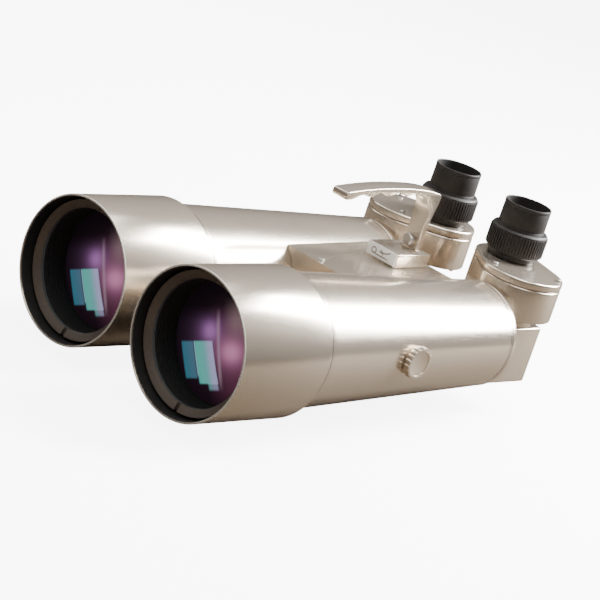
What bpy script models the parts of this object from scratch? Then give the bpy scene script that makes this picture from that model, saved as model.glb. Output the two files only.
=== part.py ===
"""Large binocular telescope with upright eyepieces, an arched carry handle and a mounting foot.

Frame: +Y runs back along the tubes, +Z up, +X towards the left tube as the user stands behind it.
The origin is the centre of the foot's underside. Depths are measured back from the front rims.
"""

from math import atan2, cos, hypot, pi, radians, sin

import bmesh
import bpy
from mathutils import Vector

MM = 0.001

# Clearances
SEAT_GAP = 0.3 * MM
RUN_GAP = 0.35 * MM

# Barrels
BARREL_RADIUS = 45.6 * MM
BARREL_WALL = 2.0 * MM
BARREL_START = 14.0 * MM
BARREL_LENGTH = 275.2 * MM
BARREL_TAPER = 7.95 * MM
TAPER_STEP = 0.35 * MM
GROOVE_SETBACK = 8.8 * MM
GROOVE_WIDTH = 1.2 * MM
GROOVE_SINK = 0.6 * MM
END_RING_LENGTH = 4.0 * MM
END_RING_BORE = 19.0 * MM
END_RING_ROUND = 0.6 * MM

# Dew shields
DEW_GAP = 2.8 * MM
DEW_WALL = 1.7 * MM
DEW_RADIUS = BARREL_RADIUS + DEW_GAP + DEW_WALL
DEW_LENGTH = 80.2 * MM
DEW_LIP = 3.0 * MM
DEW_EDGE = 0.5 * MM
GUIDE_SETBACK = 3.0 * MM
GUIDE_WIDTH = 8.0 * MM

# Placing of the two tubes
TUBE_GAP = 12.8 * MM
TUBE_SPACING = 2 * DEW_RADIUS + TUBE_GAP
FOOT_DROP = 7.9 * MM
AXIS_HEIGHT = DEW_RADIUS + FOOT_DROP

# Objectives
CELL_WALL = 1.1 * MM
LENS_RADIUS = BARREL_RADIUS - BARREL_WALL - SEAT_GAP - CELL_WALL - SEAT_GAP
LENS_SETBACK = 20.5 * MM
LENS_EDGE = 4.5 * MM
LENS_BULGE = 3.4 * MM
LENS_HOLLOW = 1.6 * MM
REAR_LENS_EDGE = 6.0 * MM
CELL_LIP = 3.0 * MM
CELL_LIP_HEIGHT = 2.9 * MM
RETAINER_COVER = 1.0 * MM
RETAINER_LENGTH = 5.0 * MM
RETAINER_FLANGE = 1.0 * MM
NOTCH_WIDTH = 3.0 * MM
NOTCH_SINK = 2.0 * MM
BAFFLE_COVER = 1.6 * MM
BAFFLE_RIB = 0.8 * MM
BAFFLE_RIBS = 3

# Prism boxes
BOX_WIDTH = 40.0 * MM
BOX_LENGTH = 47.5 * MM
BOX_BOTTOM = -31.5 * MM
BOX_TOP = 11.6 * MM
BOX_WALL = 2.5 * MM
BOX_ROUND = 1.5 * MM
SEAT_BOSS_RADIUS = BOX_WIDTH / 2 - 1.0 * MM
SEAT_BOSS_HEIGHT = 4.0 * MM
PRISM_HEADROOM = 1.8 * MM
BOX_SCREW_INSET = 10.0 * MM
BOX_SCREW_DROP = 4.6 * MM

# Swivelling turrets
PIVOT_SETBACK = 31.0 * MM
COLLAR_RADIUS = SEAT_BOSS_RADIUS - 2.5 * MM
COLLAR_WIDTH = 4.5 * MM
COLLAR_HEIGHT = 2.4 * MM
TURRET_HEIGHT = 24.4 * MM
TURRET_WALL = 3.0 * MM
PIVOT_END_RADIUS = 30.2 * MM
EYE_END_RADIUS = 26.0 * MM
EYE_OFFSET_IN = 22.1 * MM
EYE_OFFSET_BACK = 12.4 * MM
LID_HEIGHT = 5.7 * MM
LID_SCREWS = {"outer": (33.4, 3.5 * MM), "front": (-116.0, 7.4 * MM)}
STOP_SCREW_INSET = 3.6 * MM
RHOMBOID_HALF = 10.5 * MM
RHOMBOID_WIDTH = 18.0 * MM

# Eyepieces
BASE_TUBE_RADIUS = 14.7 * MM
BASE_WALL = 1.5 * MM
BASE_BORE = BASE_TUBE_RADIUS - BASE_WALL
BASE_COLLAR_WIDTH = 3.3 * MM
BASE_COLLAR_HEIGHT = 4.3 * MM
BASE_TUBE_SINK = 5.7 * MM
CUP_WALL = 2.1 * MM
CUP_GAP = 0.6 * MM
CUP_RADIUS = BASE_TUBE_RADIUS + CUP_GAP + CUP_WALL
CUP_RISE = 18.6 * MM
CUP_OVERLAP = 4.7 * MM
CUP_RIM_WALL = 1.3 * MM
RING_WALL = 3.75 * MM
RING_RADIUS = CUP_RADIUS + RUN_GAP + RING_WALL
RING_HEIGHT = 17.8 * MM
RING_FLOOR = 2.1 * MM
RING_RIDGES = 36
RING_RIDGE_SINK = 0.7 * MM
SLEEVE_WALL = 1.6 * MM
HEAD_LIFT = 6.0 * MM
HEAD_HEIGHT = 8.0 * MM
EYE_LENS_THICKNESS = 3.2 * MM
EYE_LENS_BULGE = 1.2 * MM

# Bridge between the tubes
BRIDGE_SETBACK = 9.7 * MM
BRIDGE_LENGTH = 112.0 * MM
BRIDGE_TOP = 31.4 * MM
BRIDGE_BOTTOM = -34.0 * MM
BRIDGE_SCREW_INSET = 6.0 * MM

# Handle block and its plate
BLOCK_INSET = 68.5 * MM
BLOCK_WIDTH = 28.4 * MM
BLOCK_LENGTH = 36.0 * MM
BLOCK_HEIGHT = 9.5 * MM
PLATE_THICKNESS = 0.8 * MM

# Carry handle
HANDLE_WIDTH = 13.6 * MM
HANDLE_RISE = 47.0 * MM
HANDLE_REACH = 94.4 * MM
HANDLE_CROWN_REACH = 37.2 * MM
HANDLE_OVERHANG = 9.0 * MM
HANDLE_TIP_DROP = 4.2 * MM
HANDLE_THICKNESS = 6.0 * MM
FINGER_PITCH = 19.5 * MM
FINGER_SINK = 2.2 * MM
FINGERS = 4
POST_INSET = 27.2 * MM
POST_THICKNESS = 5.0 * MM
POST_FILLET = 14.0 * MM
TENON_DEPTH = 3.0 * MM
THUMB_RISE = 6.5 * MM
THUMB_RADIUS = 4.4 * MM
THUMB_LENGTH = 5.5 * MM
THUMB_SHANK = 1.8 * MM
NUT_RADIUS = 3.6 * MM
NUT_LENGTH = 2.6 * MM

# Foot
FOOT_SETBACK = 36.5 * MM
FOOT_WIDTH = 60.0 * MM
FOOT_LENGTH = 110.0 * MM
FOOT_PLATE = 8.0 * MM
FOOT_PAD_WIDTH = 36.0 * MM
FOOT_PAD_LENGTH = 72.0 * MM
FOOT_SCREW_SPACING = 52.0 * MM
FOOT_THREAD_RADIUS = 4.7 * MM
FOOT_THREAD_DEPTH = 12.0 * MM

# Side knobs and fasteners
KNOB_SETBACK = 9.0 * MM
KNOB_RISE = 2.0 * MM
KNOB_RADIUS = 11.4 * MM
KNOB_LENGTH = 4.6 * MM
KNOB_SCALLOPS = 14
KNOB_SCALLOP_SINK = 1.0 * MM
KNOB_BOSS_RADIUS = 9.0 * MM
KNOB_BOSS_RISE = 0.7 * MM
SCREW_HEAD_RADIUS = 2.0 * MM
SCREW_HEAD_HEIGHT = 1.2 * MM
SCREW_SHANK_RADIUS = 1.1 * MM
SCREW_SHANK_LENGTH = 5.0 * MM
BIG_HEAD_RADIUS = 4.0 * MM
BIG_HEAD_HEIGHT = 4.0 * MM
BIG_SHANK_RADIUS = 2.4 * MM
BIG_SCREW_BITE = 8.0 * MM
HOLE_GAP = 0.3 * MM

# Smoothness
TUBE_STEPS = 32
MID_STEPS = 24
SMALL_STEPS = 12

SIDES = (("left", 1), ("right", -1))

parts = None
cutters = None


def clear_scene():
    for obj in list(bpy.data.objects):
        bpy.data.objects.remove(obj, do_unlink=True)


def new_collection(name, hidden=False):
    collection = bpy.data.collections.new(name)
    bpy.context.scene.collection.children.link(collection)
    collection.hide_render = hidden
    return collection


def material(name, colour, roughness, metallic=0.0):
    made = bpy.data.materials.new(name)
    made.use_nodes = True
    shader = made.node_tree.nodes["Principled BSDF"]
    shader.inputs["Base Color"].default_value = (*colour, 1.0)
    shader.inputs["Roughness"].default_value = roughness
    shader.inputs["Metallic"].default_value = metallic
    return made


# Places

def at_depth(x, depth, height):
    """A point from its sideways place, depth behind the rims and height above the tube axes."""
    return Vector((x, depth - overall_length() / 2, height + AXIS_HEIGHT))


def tube_x(side):
    return side * TUBE_SPACING / 2


def taper_start():
    """Where the barrel's taper begins, at the rear edge of the groove behind the dew shield."""
    return DEW_LENGTH + GROOVE_SETBACK + GROOVE_WIDTH


def barrel_end():
    return BARREL_START + BARREL_LENGTH


def barrel_radius(depth):
    """Outer radius of the tapered stretch of a barrel."""
    front = BARREL_RADIUS - TAPER_STEP
    rear = BARREL_RADIUS - BARREL_TAPER
    return front + (rear - front) * (depth - taper_start()) / (barrel_end() - taper_start())


def lens_depth():
    return BARREL_START + LENS_SETBACK


def box_start():
    return barrel_end() + SEAT_GAP + END_RING_LENGTH + SEAT_GAP


def port_radius():
    """The round way for the light through the box, the collar and the turret's floor."""
    return COLLAR_RADIUS - COLLAR_WIDTH


def pivot_depth():
    return box_start() + PIVOT_SETBACK


def seat_height():
    """Top of the round seat on the prism box, where the swivel collar stands."""
    return BOX_TOP + SEAT_BOSS_HEIGHT


def turret_bottom():
    return seat_height() + SEAT_GAP + COLLAR_HEIGHT + SEAT_GAP


def lid_bottom():
    return turret_bottom() + TURRET_HEIGHT + SEAT_GAP


def lid_top():
    return lid_bottom() + LID_HEIGHT


def ring_bottom():
    return lid_top() + SEAT_GAP + BASE_COLLAR_HEIGHT + SEAT_GAP


def ring_top():
    return ring_bottom() + RING_HEIGHT


def eye_x(side):
    return side * (TUBE_SPACING / 2 - EYE_OFFSET_IN)


def bridge_start():
    return barrel_end() - BRIDGE_SETBACK - BRIDGE_LENGTH


def block_start():
    return bridge_start() + BLOCK_INSET


def post_front():
    return block_start() + POST_INSET


def foot_depth():
    return bridge_start() + FOOT_SETBACK


def knob_depth():
    return bridge_start() + KNOB_SETBACK


def eye_depth():
    return pivot_depth() + EYE_OFFSET_BACK


def overall_length():
    return eye_depth() + EYE_END_RADIUS


# Making solids

def finish(obj, paint, steps_smooth=40):
    obj.data.materials.clear()
    obj.data.materials.append(paint)
    obj.data.shade_smooth()
    obj.data.set_sharp_from_angle(angle=radians(steps_smooth))
    return obj


def add_object(name, mesh, paint=None, collection=None):
    obj = bpy.data.objects.new(name, mesh)
    (collection or parts).objects.link(obj)
    if paint:
        finish(obj, paint)
    else:
        obj.hide_render = True
        obj.display_type = "WIRE"
    return obj


def turned(name, profile, place, turn=(0, 0, 0), steps=TUBE_STEPS, paint=None, collection=None):
    """A turned piece. The profile's (radius, height) points run down the outer side; a hollow one closes."""
    hollow = profile[0][0] > 0
    mesh = bpy.data.meshes.new(name)
    points = [(radius, 0, height) for radius, height in profile]
    edges = [(i, i + 1) for i in range(len(points) - 1)]
    if hollow:
        edges.append((len(points) - 1, 0))
    mesh.from_pydata(points, edges, [])
    obj = add_object(name, mesh, paint, collection)
    screw = obj.modifiers.new("turn", "SCREW")
    screw.steps = steps
    screw.render_steps = steps
    screw.use_merge_vertices = True
    screw.merge_threshold = 0.00001
    screw.use_smooth_shade = True
    obj.location = place
    obj.rotation_euler = turn
    return obj


def mesh_from_curve(curve_obj, name, collection):
    """The mesh of a filled curve, with its caps welded on."""
    bpy.context.view_layer.update()
    graph = bpy.context.evaluated_depsgraph_get()
    mesh = bpy.data.meshes.new_from_object(curve_obj.evaluated_get(graph))
    mesh.name = name
    edit = bmesh.new()
    edit.from_mesh(mesh)
    bmesh.ops.remove_doubles(edit, verts=edit.verts, dist=0.000005)
    bmesh.ops.recalc_face_normals(edit, faces=edit.faces)
    edit.to_mesh(mesh)
    edit.free()
    obj = bpy.data.objects.new(name, mesh)
    obj.matrix_world = curve_obj.matrix_world
    collection.objects.link(obj)
    curve = curve_obj.data
    bpy.data.objects.remove(curve_obj, do_unlink=True)
    bpy.data.curves.remove(curve)
    return obj


def extruded(name, outline, thickness, place, turn=(0, 0, 0), paint=None, collection=None):
    """A flat outline drawn in local X and Y, made thick evenly about local Z."""
    curve = bpy.data.curves.new(name + "_outline", "CURVE")
    curve.dimensions = "2D"
    curve.fill_mode = "BOTH"
    curve.extrude = thickness / 2
    spline = curve.splines.new("POLY")
    spline.points.add(len(outline) - 1)
    for point, (x, y) in zip(spline.points, outline):
        point.co = (x, y, 0, 1)
    spline.use_cyclic_u = True
    drawn = bpy.data.objects.new(name + "_outline", curve)
    bpy.context.scene.collection.objects.link(drawn)
    drawn.location = place
    drawn.rotation_euler = turn
    obj = mesh_from_curve(drawn, name, collection or parts)
    if paint:
        finish(obj, paint)
    else:
        obj.hide_render = True
        obj.display_type = "WIRE"
    return obj


def block(name, low, high, paint=None, collection=None):
    """A box between two corners, with its origin at its centre and its size in its mesh."""
    low = Vector(low)
    high = Vector(high)
    mesh = bpy.data.meshes.new(name)
    edit = bmesh.new()
    bmesh.ops.create_cube(edit, size=1.0)
    bmesh.ops.scale(edit, vec=high - low, verts=edit.verts)
    edit.to_mesh(mesh)
    edit.free()
    obj = add_object(name, mesh, paint, collection)
    obj.location = (low + high) / 2
    return obj


def rod(name, radius, low, high, place, turn=(0, 0, 0), steps=SMALL_STEPS, paint=None, collection=None):
    """A round rod along local Z from low to high."""
    mesh = bpy.data.meshes.new(name)
    edit = bmesh.new()
    bmesh.ops.create_cone(edit, cap_ends=True, segments=steps, radius1=radius, radius2=radius, depth=high - low)
    bmesh.ops.translate(edit, vec=(0, 0, (low + high) / 2), verts=edit.verts)
    edit.to_mesh(mesh)
    edit.free()
    obj = add_object(name, mesh, paint, collection)
    obj.location = place
    obj.rotation_euler = turn
    return obj


def change(obj, other, operation):
    modifier = obj.modifiers.new(operation.lower() + "_" + other.name, "BOOLEAN")
    modifier.operation = operation
    modifier.solver = "EXACT"
    modifier.object = other


def cut(obj, *others):
    for other in others:
        change(obj, other, "DIFFERENCE")


def join(obj, other):
    change(obj, other, "UNION")


def bevel(obj, width, segments=2, angle=40):
    modifier = obj.modifiers.new("edges", "BEVEL")
    modifier.width = width
    modifier.segments = segments
    modifier.limit_method = "ANGLE"
    modifier.angle_limit = radians(angle)


FORWARD = (pi / 2, 0, 0)


def outward(side):
    return (0, side * pi / 2, 0)


def facing_front(points):
    """Profile points given as (radius, depth) for a piece whose local Z faces the front."""
    return [(radius, -depth) for radius, depth in points]


def arc(centre, radius, start, end, count):
    return [
        (
            centre[0] + radius * cos(start + (end - start) * i / count),
            centre[1] + radius * sin(start + (end - start) * i / count),
        )
        for i in range(count + 1)
    ]


def turret_outline(side, inset=0.0):
    """Outline about the pivot: two round ends of unlike radius joined by their common tangents."""
    along = Vector((-side * EYE_OFFSET_IN, EYE_OFFSET_BACK))
    length = along.length
    heading = atan2(along.y, along.x)
    spread = pi / 2 - atan2(PIVOT_END_RADIUS - EYE_END_RADIUS, length)
    pivot_end = arc((0, 0), PIVOT_END_RADIUS - inset, heading + spread, heading + 2 * pi - spread, 16)
    eye_end = arc(along, EYE_END_RADIUS - inset, heading - spread, heading + spread, 12)
    return pivot_end + eye_end


# Tubes

def dew_shield(label, side, paint):
    inner = DEW_RADIUS - DEW_WALL
    lip = BARREL_RADIUS + RUN_GAP
    profile = facing_front([
        (DEW_RADIUS - DEW_EDGE, 0),
        (DEW_RADIUS, DEW_EDGE),
        (DEW_RADIUS, DEW_LENGTH - DEW_EDGE),
        (DEW_RADIUS - DEW_EDGE, DEW_LENGTH),
        (lip, DEW_LENGTH),
        (lip, DEW_LENGTH - DEW_LIP),
        (inner, DEW_LENGTH - DEW_LIP),
        (inner, 0),
    ])
    turned("dew_shield_" + label, profile, at_depth(tube_x(side), 0, 0), FORWARD, paint=paint)


def guide_ring(label, side, paint):
    outer = DEW_RADIUS - DEW_WALL - RUN_GAP
    inner = BARREL_RADIUS + SEAT_GAP
    front = BARREL_START + GUIDE_SETBACK
    rear = front + GUIDE_WIDTH
    profile = facing_front([(outer, front), (outer, rear), (inner, rear), (inner, front)])
    turned("guide_ring_" + label, profile, at_depth(tube_x(side), 0, 0), FORWARD, paint=paint)


def barrel(label, side, paint):
    groove_end = taper_start()
    groove_start = groove_end - GROOVE_WIDTH
    rear = barrel_end()
    rear_radius = BARREL_RADIUS - BARREL_TAPER
    profile = facing_front([
        (BARREL_RADIUS, BARREL_START),
        (BARREL_RADIUS, groove_start),
        (BARREL_RADIUS - GROOVE_SINK, groove_start),
        (BARREL_RADIUS - GROOVE_SINK, groove_end),
        (BARREL_RADIUS - TAPER_STEP, groove_end),
        (rear_radius, rear),
        (rear_radius - BARREL_WALL, rear),
        (BARREL_RADIUS - TAPER_STEP - BARREL_WALL, groove_end),
        (BARREL_RADIUS - BARREL_WALL, groove_start),
        (BARREL_RADIUS - BARREL_WALL, BARREL_START),
    ])
    obj = turned("barrel_" + label, profile, at_depth(tube_x(side), 0, 0), FORWARD, paint=paint)
    surface = barrel_radius(knob_depth())
    boss = rod(
        "knob_boss_" + label, KNOB_BOSS_RADIUS, surface - BARREL_WALL, surface + KNOB_BOSS_RISE,
        at_depth(tube_x(side), knob_depth(), KNOB_RISE), outward(side), MID_STEPS, collection=cutters,
    )
    join(obj, boss)


def end_ring(label, side, paint):
    start = barrel_end() + SEAT_GAP
    rear = start + END_RING_LENGTH
    radius = BARREL_RADIUS - BARREL_TAPER
    profile = facing_front([
        (radius, start),
        (radius, rear - END_RING_ROUND),
        (radius - END_RING_ROUND, rear),
        (END_RING_BORE, rear),
        (END_RING_BORE, start),
    ])
    turned("end_ring_" + label, profile, at_depth(tube_x(side), 0, 0), FORWARD, paint=paint)


# Objectives

def retaining_ring(label, side, paint):
    outer = BARREL_RADIUS + RETAINER_FLANGE
    bore = LENS_RADIUS - RETAINER_COVER
    rear = BARREL_START - SEAT_GAP
    front = rear - RETAINER_LENGTH
    profile = facing_front([
        (outer, front),
        (outer, rear),
        (bore, rear),
        (bore, front + RETAINER_LENGTH / 2),
    ])
    ring = turned("retaining_ring_" + label, profile, at_depth(tube_x(side), 0, 0), FORWARD, paint=paint)
    reach = outer + 2 * MM
    middle = at_depth(tube_x(side), front, 0)
    for number, across in enumerate((-1, 1)):
        ends = sorted((across * (bore - 2 * MM), across * reach))
        low = middle + Vector((-NOTCH_WIDTH / 2, -NOTCH_SINK, ends[0]))
        high = middle + Vector((NOTCH_WIDTH / 2, RETAINER_LENGTH / 2 + NOTCH_SINK, ends[1]))
        cut(ring, block("notch_%s_%d" % (label, number), low, high, collection=cutters))


def front_baffle(label, side, paint):
    outer = BARREL_RADIUS - BARREL_WALL - SEAT_GAP
    front = BARREL_START
    rear = lens_depth() - 3 * SEAT_GAP
    pitch = (rear - front) / BAFFLE_RIBS
    bore = LENS_RADIUS - BAFFLE_COVER
    ribs = []
    for i in reversed(range(BAFFLE_RIBS)):
        start = front + pitch * i
        ribs.append((bore, start + pitch))
        ribs.append((bore + BAFFLE_RIB, start + pitch * 0.6))
    profile = facing_front([(outer, front), (outer, rear)] + ribs + [(bore, front)])
    turned("front_baffle_" + label, profile, at_depth(tube_x(side), 0, 0), FORWARD, paint=paint)


def lens_stack_end():
    return lens_depth() + LENS_EDGE + SEAT_GAP + REAR_LENS_EDGE


def objective_cell(label, side, paint):
    outer = BARREL_RADIUS - BARREL_WALL - SEAT_GAP
    bore = LENS_RADIUS + SEAT_GAP
    lip = LENS_RADIUS - CELL_LIP_HEIGHT
    seat = lens_stack_end() + SEAT_GAP
    profile = facing_front([
        (outer, lens_depth()),
        (outer, seat + CELL_LIP),
        (lip, seat + CELL_LIP),
        (lip, seat),
        (bore, seat),
        (bore, lens_depth()),
    ])
    turned("objective_cell_" + label, profile, at_depth(tube_x(side), 0, 0), FORWARD, paint=paint)


def bowed(radius, edge, middle, count):
    """Points of a shallow dome from its edge depth to its middle depth."""
    return [(radius * (1 - i / count), middle + (edge - middle) * (1 - i / count) ** 2) for i in range(count + 1)]


def objective_lenses(label, side, glass):
    place = at_depth(tube_x(side), 0, 0)
    back = lens_depth() + LENS_EDGE
    front_face = bowed(LENS_RADIUS, lens_depth(), lens_depth() - LENS_BULGE, 4)
    rear_face = bowed(LENS_RADIUS, back, back + LENS_HOLLOW, 2)
    profile = facing_front(front_face[::-1] + rear_face)
    turned("front_lens_" + label, profile, place, FORWARD, TUBE_STEPS, glass)
    start = back + SEAT_GAP
    end = start + REAR_LENS_EDGE
    hollow_face = bowed(LENS_RADIUS, start, start + LENS_HOLLOW, 2)
    profile = facing_front(hollow_face[::-1] + [(LENS_RADIUS, end), (0, end)])
    turned("rear_lens_" + label, profile, place, FORWARD, TUBE_STEPS, glass)


# Prism boxes and turrets

def prism_box(label, side, paint):
    start = box_start()
    end = start + BOX_LENGTH
    x = tube_x(side)
    half = BOX_WIDTH / 2
    obj = block("prism_box_" + label, at_depth(x - half, start, BOX_BOTTOM), at_depth(x + half, end, BOX_TOP), paint)
    bevel(obj, BOX_ROUND)
    inner = half - BOX_WALL
    hollow = block(
        "box_hollow_" + label,
        at_depth(x - inner, start - BOX_WALL, BOX_BOTTOM + BOX_WALL),
        at_depth(x + inner, end - BOX_WALL, BOX_TOP - BOX_WALL),
        collection=cutters,
    )
    boss = rod(
        "seat_boss_" + label, SEAT_BOSS_RADIUS, BOX_TOP - BOX_WALL / 2, seat_height(),
        at_depth(x, pivot_depth(), 0), steps=MID_STEPS, collection=cutters,
    )
    port = rod(
        "box_port_" + label, port_radius(), BOX_TOP - 2 * BOX_WALL, seat_height() + BOX_WALL,
        at_depth(x, pivot_depth(), 0), steps=MID_STEPS, collection=cutters,
    )
    join(obj, boss)
    cut(obj, hollow, port)
    screw_hole = rod(
        "box_screw_hole_" + label, SCREW_SHANK_RADIUS + HOLE_GAP, half - 2 * BOX_WALL, half + BOX_WALL,
        at_depth(x, *box_screw_place()), outward(side), collection=cutters,
    )
    cut(obj, screw_hole)


def box_screw_place():
    return box_start() + BOX_SCREW_INSET, BOX_TOP - BOX_SCREW_DROP


def erecting_prism(label, side, glass):
    """A right-angled prism that turns the light from back to up."""
    width = BOX_WIDTH - 2 * BOX_WALL - 2 * SEAT_GAP
    low = BOX_BOTTOM + BOX_WALL + SEAT_GAP
    rear = box_start() + BOX_LENGTH - BOX_WALL - SEAT_GAP
    height = BOX_TOP - BOX_WALL - PRISM_HEADROOM - low
    outline = [(0, 0), (0, height), (-height, 0)]
    place = at_depth(tube_x(side), rear, low)
    extruded("erecting_prism_" + label, outline, width, place, (pi / 2, 0, pi / 2), glass)


def swivel_collar(label, side, paint):
    bottom = seat_height() + SEAT_GAP
    top = bottom + COLLAR_HEIGHT
    profile = [(COLLAR_RADIUS, top), (COLLAR_RADIUS, bottom), (port_radius(), bottom), (port_radius(), top)]
    turned("swivel_collar_" + label, profile, at_depth(tube_x(side), pivot_depth(), 0), (0, 0, 0), MID_STEPS, paint)


def turret_body(label, side, paint):
    bottom = turret_bottom()
    middle = at_depth(tube_x(side), pivot_depth(), bottom + TURRET_HEIGHT / 2)
    obj = extruded("turret_body_" + label, turret_outline(side), TURRET_HEIGHT, middle, paint=paint)
    hollow = extruded(
        "turret_hollow_" + label, turret_outline(side, TURRET_WALL), TURRET_HEIGHT,
        middle + Vector((0, 0, TURRET_WALL)), collection=cutters,
    )
    port = rod(
        "turret_port_" + label, port_radius(), bottom - TURRET_WALL, bottom + 2 * TURRET_WALL,
        at_depth(tube_x(side), pivot_depth(), 0), steps=MID_STEPS, collection=cutters,
    )
    cut(obj, hollow, port)
    screw_hole = rod(
        "stop_screw_hole_" + label, SCREW_SHANK_RADIUS + HOLE_GAP, bottom - TURRET_WALL, bottom + 2 * TURRET_WALL,
        at_depth(*stop_screw_place(side), 0), collection=cutters,
    )
    cut(obj, screw_hole)


def stop_screw_place(side):
    """The screw under the turret's eye end, at the edge nearest the other turret."""
    return eye_x(side) - side * (EYE_END_RADIUS - STOP_SCREW_INSET), eye_depth()


def lid_screw_places(side):
    """Places of the two lid screws, from their angles about the pivot and insets from its round end."""
    places = {}
    for end, (angle, inset) in LID_SCREWS.items():
        reach = PIVOT_END_RADIUS - inset
        turn = radians(angle)
        places[end] = Vector((tube_x(side) + side * reach * cos(turn), pivot_depth() + reach * sin(turn)))
    return places


def turret_lid(label, side, paint):
    middle = at_depth(tube_x(side), pivot_depth(), lid_bottom() + LID_HEIGHT / 2)
    obj = extruded("turret_lid_" + label, turret_outline(side), LID_HEIGHT, middle, paint=paint)
    eye = at_depth(eye_x(side), eye_depth(), 0)
    hole = rod(
        "lid_hole_" + label, BASE_TUBE_RADIUS + SEAT_GAP, lid_bottom() - LID_HEIGHT, lid_top() + LID_HEIGHT,
        eye, steps=MID_STEPS, collection=cutters,
    )
    cut(obj, hole)
    for end, spot in lid_screw_places(side).items():
        shank = rod(
            "lid_screw_hole_%s_%s" % (end, label), SCREW_SHANK_RADIUS + HOLE_GAP,
            lid_top() - SCREW_SHANK_LENGTH + SCREW_HEAD_HEIGHT, lid_top() + LID_HEIGHT,
            at_depth(spot.x, spot.y, 0), steps=SMALL_STEPS, collection=cutters,
        )
        cut(obj, shank)


def screw(name, place, turn, paint):
    """A pan-head screw standing on its seat at the local origin, with its shank below."""
    top = SCREW_HEAD_HEIGHT + SEAT_GAP
    profile = [
        (0, top),
        (SCREW_HEAD_RADIUS * 0.7, top),
        (SCREW_HEAD_RADIUS, top - SCREW_HEAD_HEIGHT / 2),
        (SCREW_HEAD_RADIUS, SEAT_GAP),
        (SCREW_SHANK_RADIUS, SEAT_GAP),
        (SCREW_SHANK_RADIUS, SEAT_GAP - SCREW_SHANK_LENGTH / 2),
        (0, SEAT_GAP - SCREW_SHANK_LENGTH / 2),
    ]
    turned(name, profile, place, turn, SMALL_STEPS, paint)


def rhomboid_prism(label, side, glass):
    """A slanted block that carries the light sideways from the pivot to the eyepiece."""
    heading = atan2(EYE_OFFSET_BACK, -side * EYE_OFFSET_IN)
    reach = hypot(EYE_OFFSET_IN, EYE_OFFSET_BACK)
    half = RHOMBOID_HALF
    height = TURRET_HEIGHT - TURRET_WALL - 2 * SEAT_GAP
    outline = [(-half, 0), (reach - half, 0), (reach + half, height), (half, height)]
    place = at_depth(tube_x(side), pivot_depth(), turret_bottom() + TURRET_WALL + SEAT_GAP)
    extruded("rhomboid_prism_" + label, outline, RHOMBOID_WIDTH, place, (pi / 2, 0, heading), glass)


# Eyepieces

def eyepiece_base(label, side, paint):
    collar_bottom = lid_top() + SEAT_GAP
    collar_top = collar_bottom + BASE_COLLAR_HEIGHT
    collar_radius = BASE_TUBE_RADIUS + BASE_COLLAR_WIDTH
    top = base_tube_top()
    bottom = lid_bottom() + SEAT_GAP
    profile = [
        (BASE_TUBE_RADIUS, top),
        (BASE_TUBE_RADIUS, collar_top),
        (collar_radius, collar_top),
        (collar_radius, collar_bottom),
        (BASE_TUBE_RADIUS, collar_bottom),
        (BASE_TUBE_RADIUS, bottom),
        (BASE_BORE, bottom),
        (BASE_BORE, top),
    ]
    turned("eyepiece_base_" + label, profile, at_depth(eye_x(side), eye_depth(), 0), (0, 0, 0), MID_STEPS, paint)


def focus_ring(label, side, paint):
    count = 2 * RING_RIDGES
    outline = []
    for i in range(count):
        radius = RING_RADIUS - (RING_RIDGE_SINK if i % 2 else 0)
        outline.append((radius * cos(2 * pi * i / count), radius * sin(2 * pi * i / count)))
    middle = at_depth(eye_x(side), eye_depth(), ring_bottom() + RING_HEIGHT / 2)
    obj = extruded("focus_ring_" + label, outline, RING_HEIGHT, middle, paint=paint)
    axis = at_depth(eye_x(side), eye_depth(), 0)
    bore = rod(
        "ring_bore_" + label, BASE_TUBE_RADIUS + RUN_GAP, ring_bottom() - RING_FLOOR, ring_top(),
        axis, steps=MID_STEPS, collection=cutters,
    )
    pocket = rod(
        "ring_pocket_" + label, CUP_RADIUS + RUN_GAP, ring_bottom() + RING_FLOOR, ring_top() + RING_FLOOR,
        axis, steps=MID_STEPS, collection=cutters,
    )
    cut(obj, bore, pocket)


def base_tube_top():
    return ring_top() - BASE_TUBE_SINK


def sleeve_head_bottom():
    return base_tube_top() + HEAD_LIFT


def eyepiece_sleeve(label, side, paint):
    head_radius = CUP_RADIUS - CUP_WALL - RUN_GAP
    tube_radius = BASE_BORE - RUN_GAP
    head_bottom = sleeve_head_bottom()
    top = head_bottom + HEAD_HEIGHT
    bore = tube_radius - SLEEVE_WALL
    seat = top - EYE_LENS_THICKNESS - SEAT_GAP
    profile = [
        (head_radius, top),
        (head_radius, head_bottom),
        (tube_radius, head_bottom),
        (tube_radius, lid_top()),
        (bore, lid_top()),
        (bore, seat),
        (tube_radius, seat),
        (tube_radius, top),
    ]
    turned("eyepiece_sleeve_" + label, profile, at_depth(eye_x(side), eye_depth(), 0), (0, 0, 0), MID_STEPS, paint)


def eye_lens(label, side, glass):
    radius = BASE_BORE - RUN_GAP - SEAT_GAP
    top = sleeve_head_bottom() + HEAD_HEIGHT
    bottom = top - EYE_LENS_THICKNESS
    face = bowed(radius, top - EYE_LENS_BULGE, top, 3)
    profile = face[::-1] + [(radius, bottom), (0, bottom)]
    turned("eye_lens_" + label, profile, at_depth(eye_x(side), eye_depth(), 0), (0, 0, 0), MID_STEPS, glass)


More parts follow.
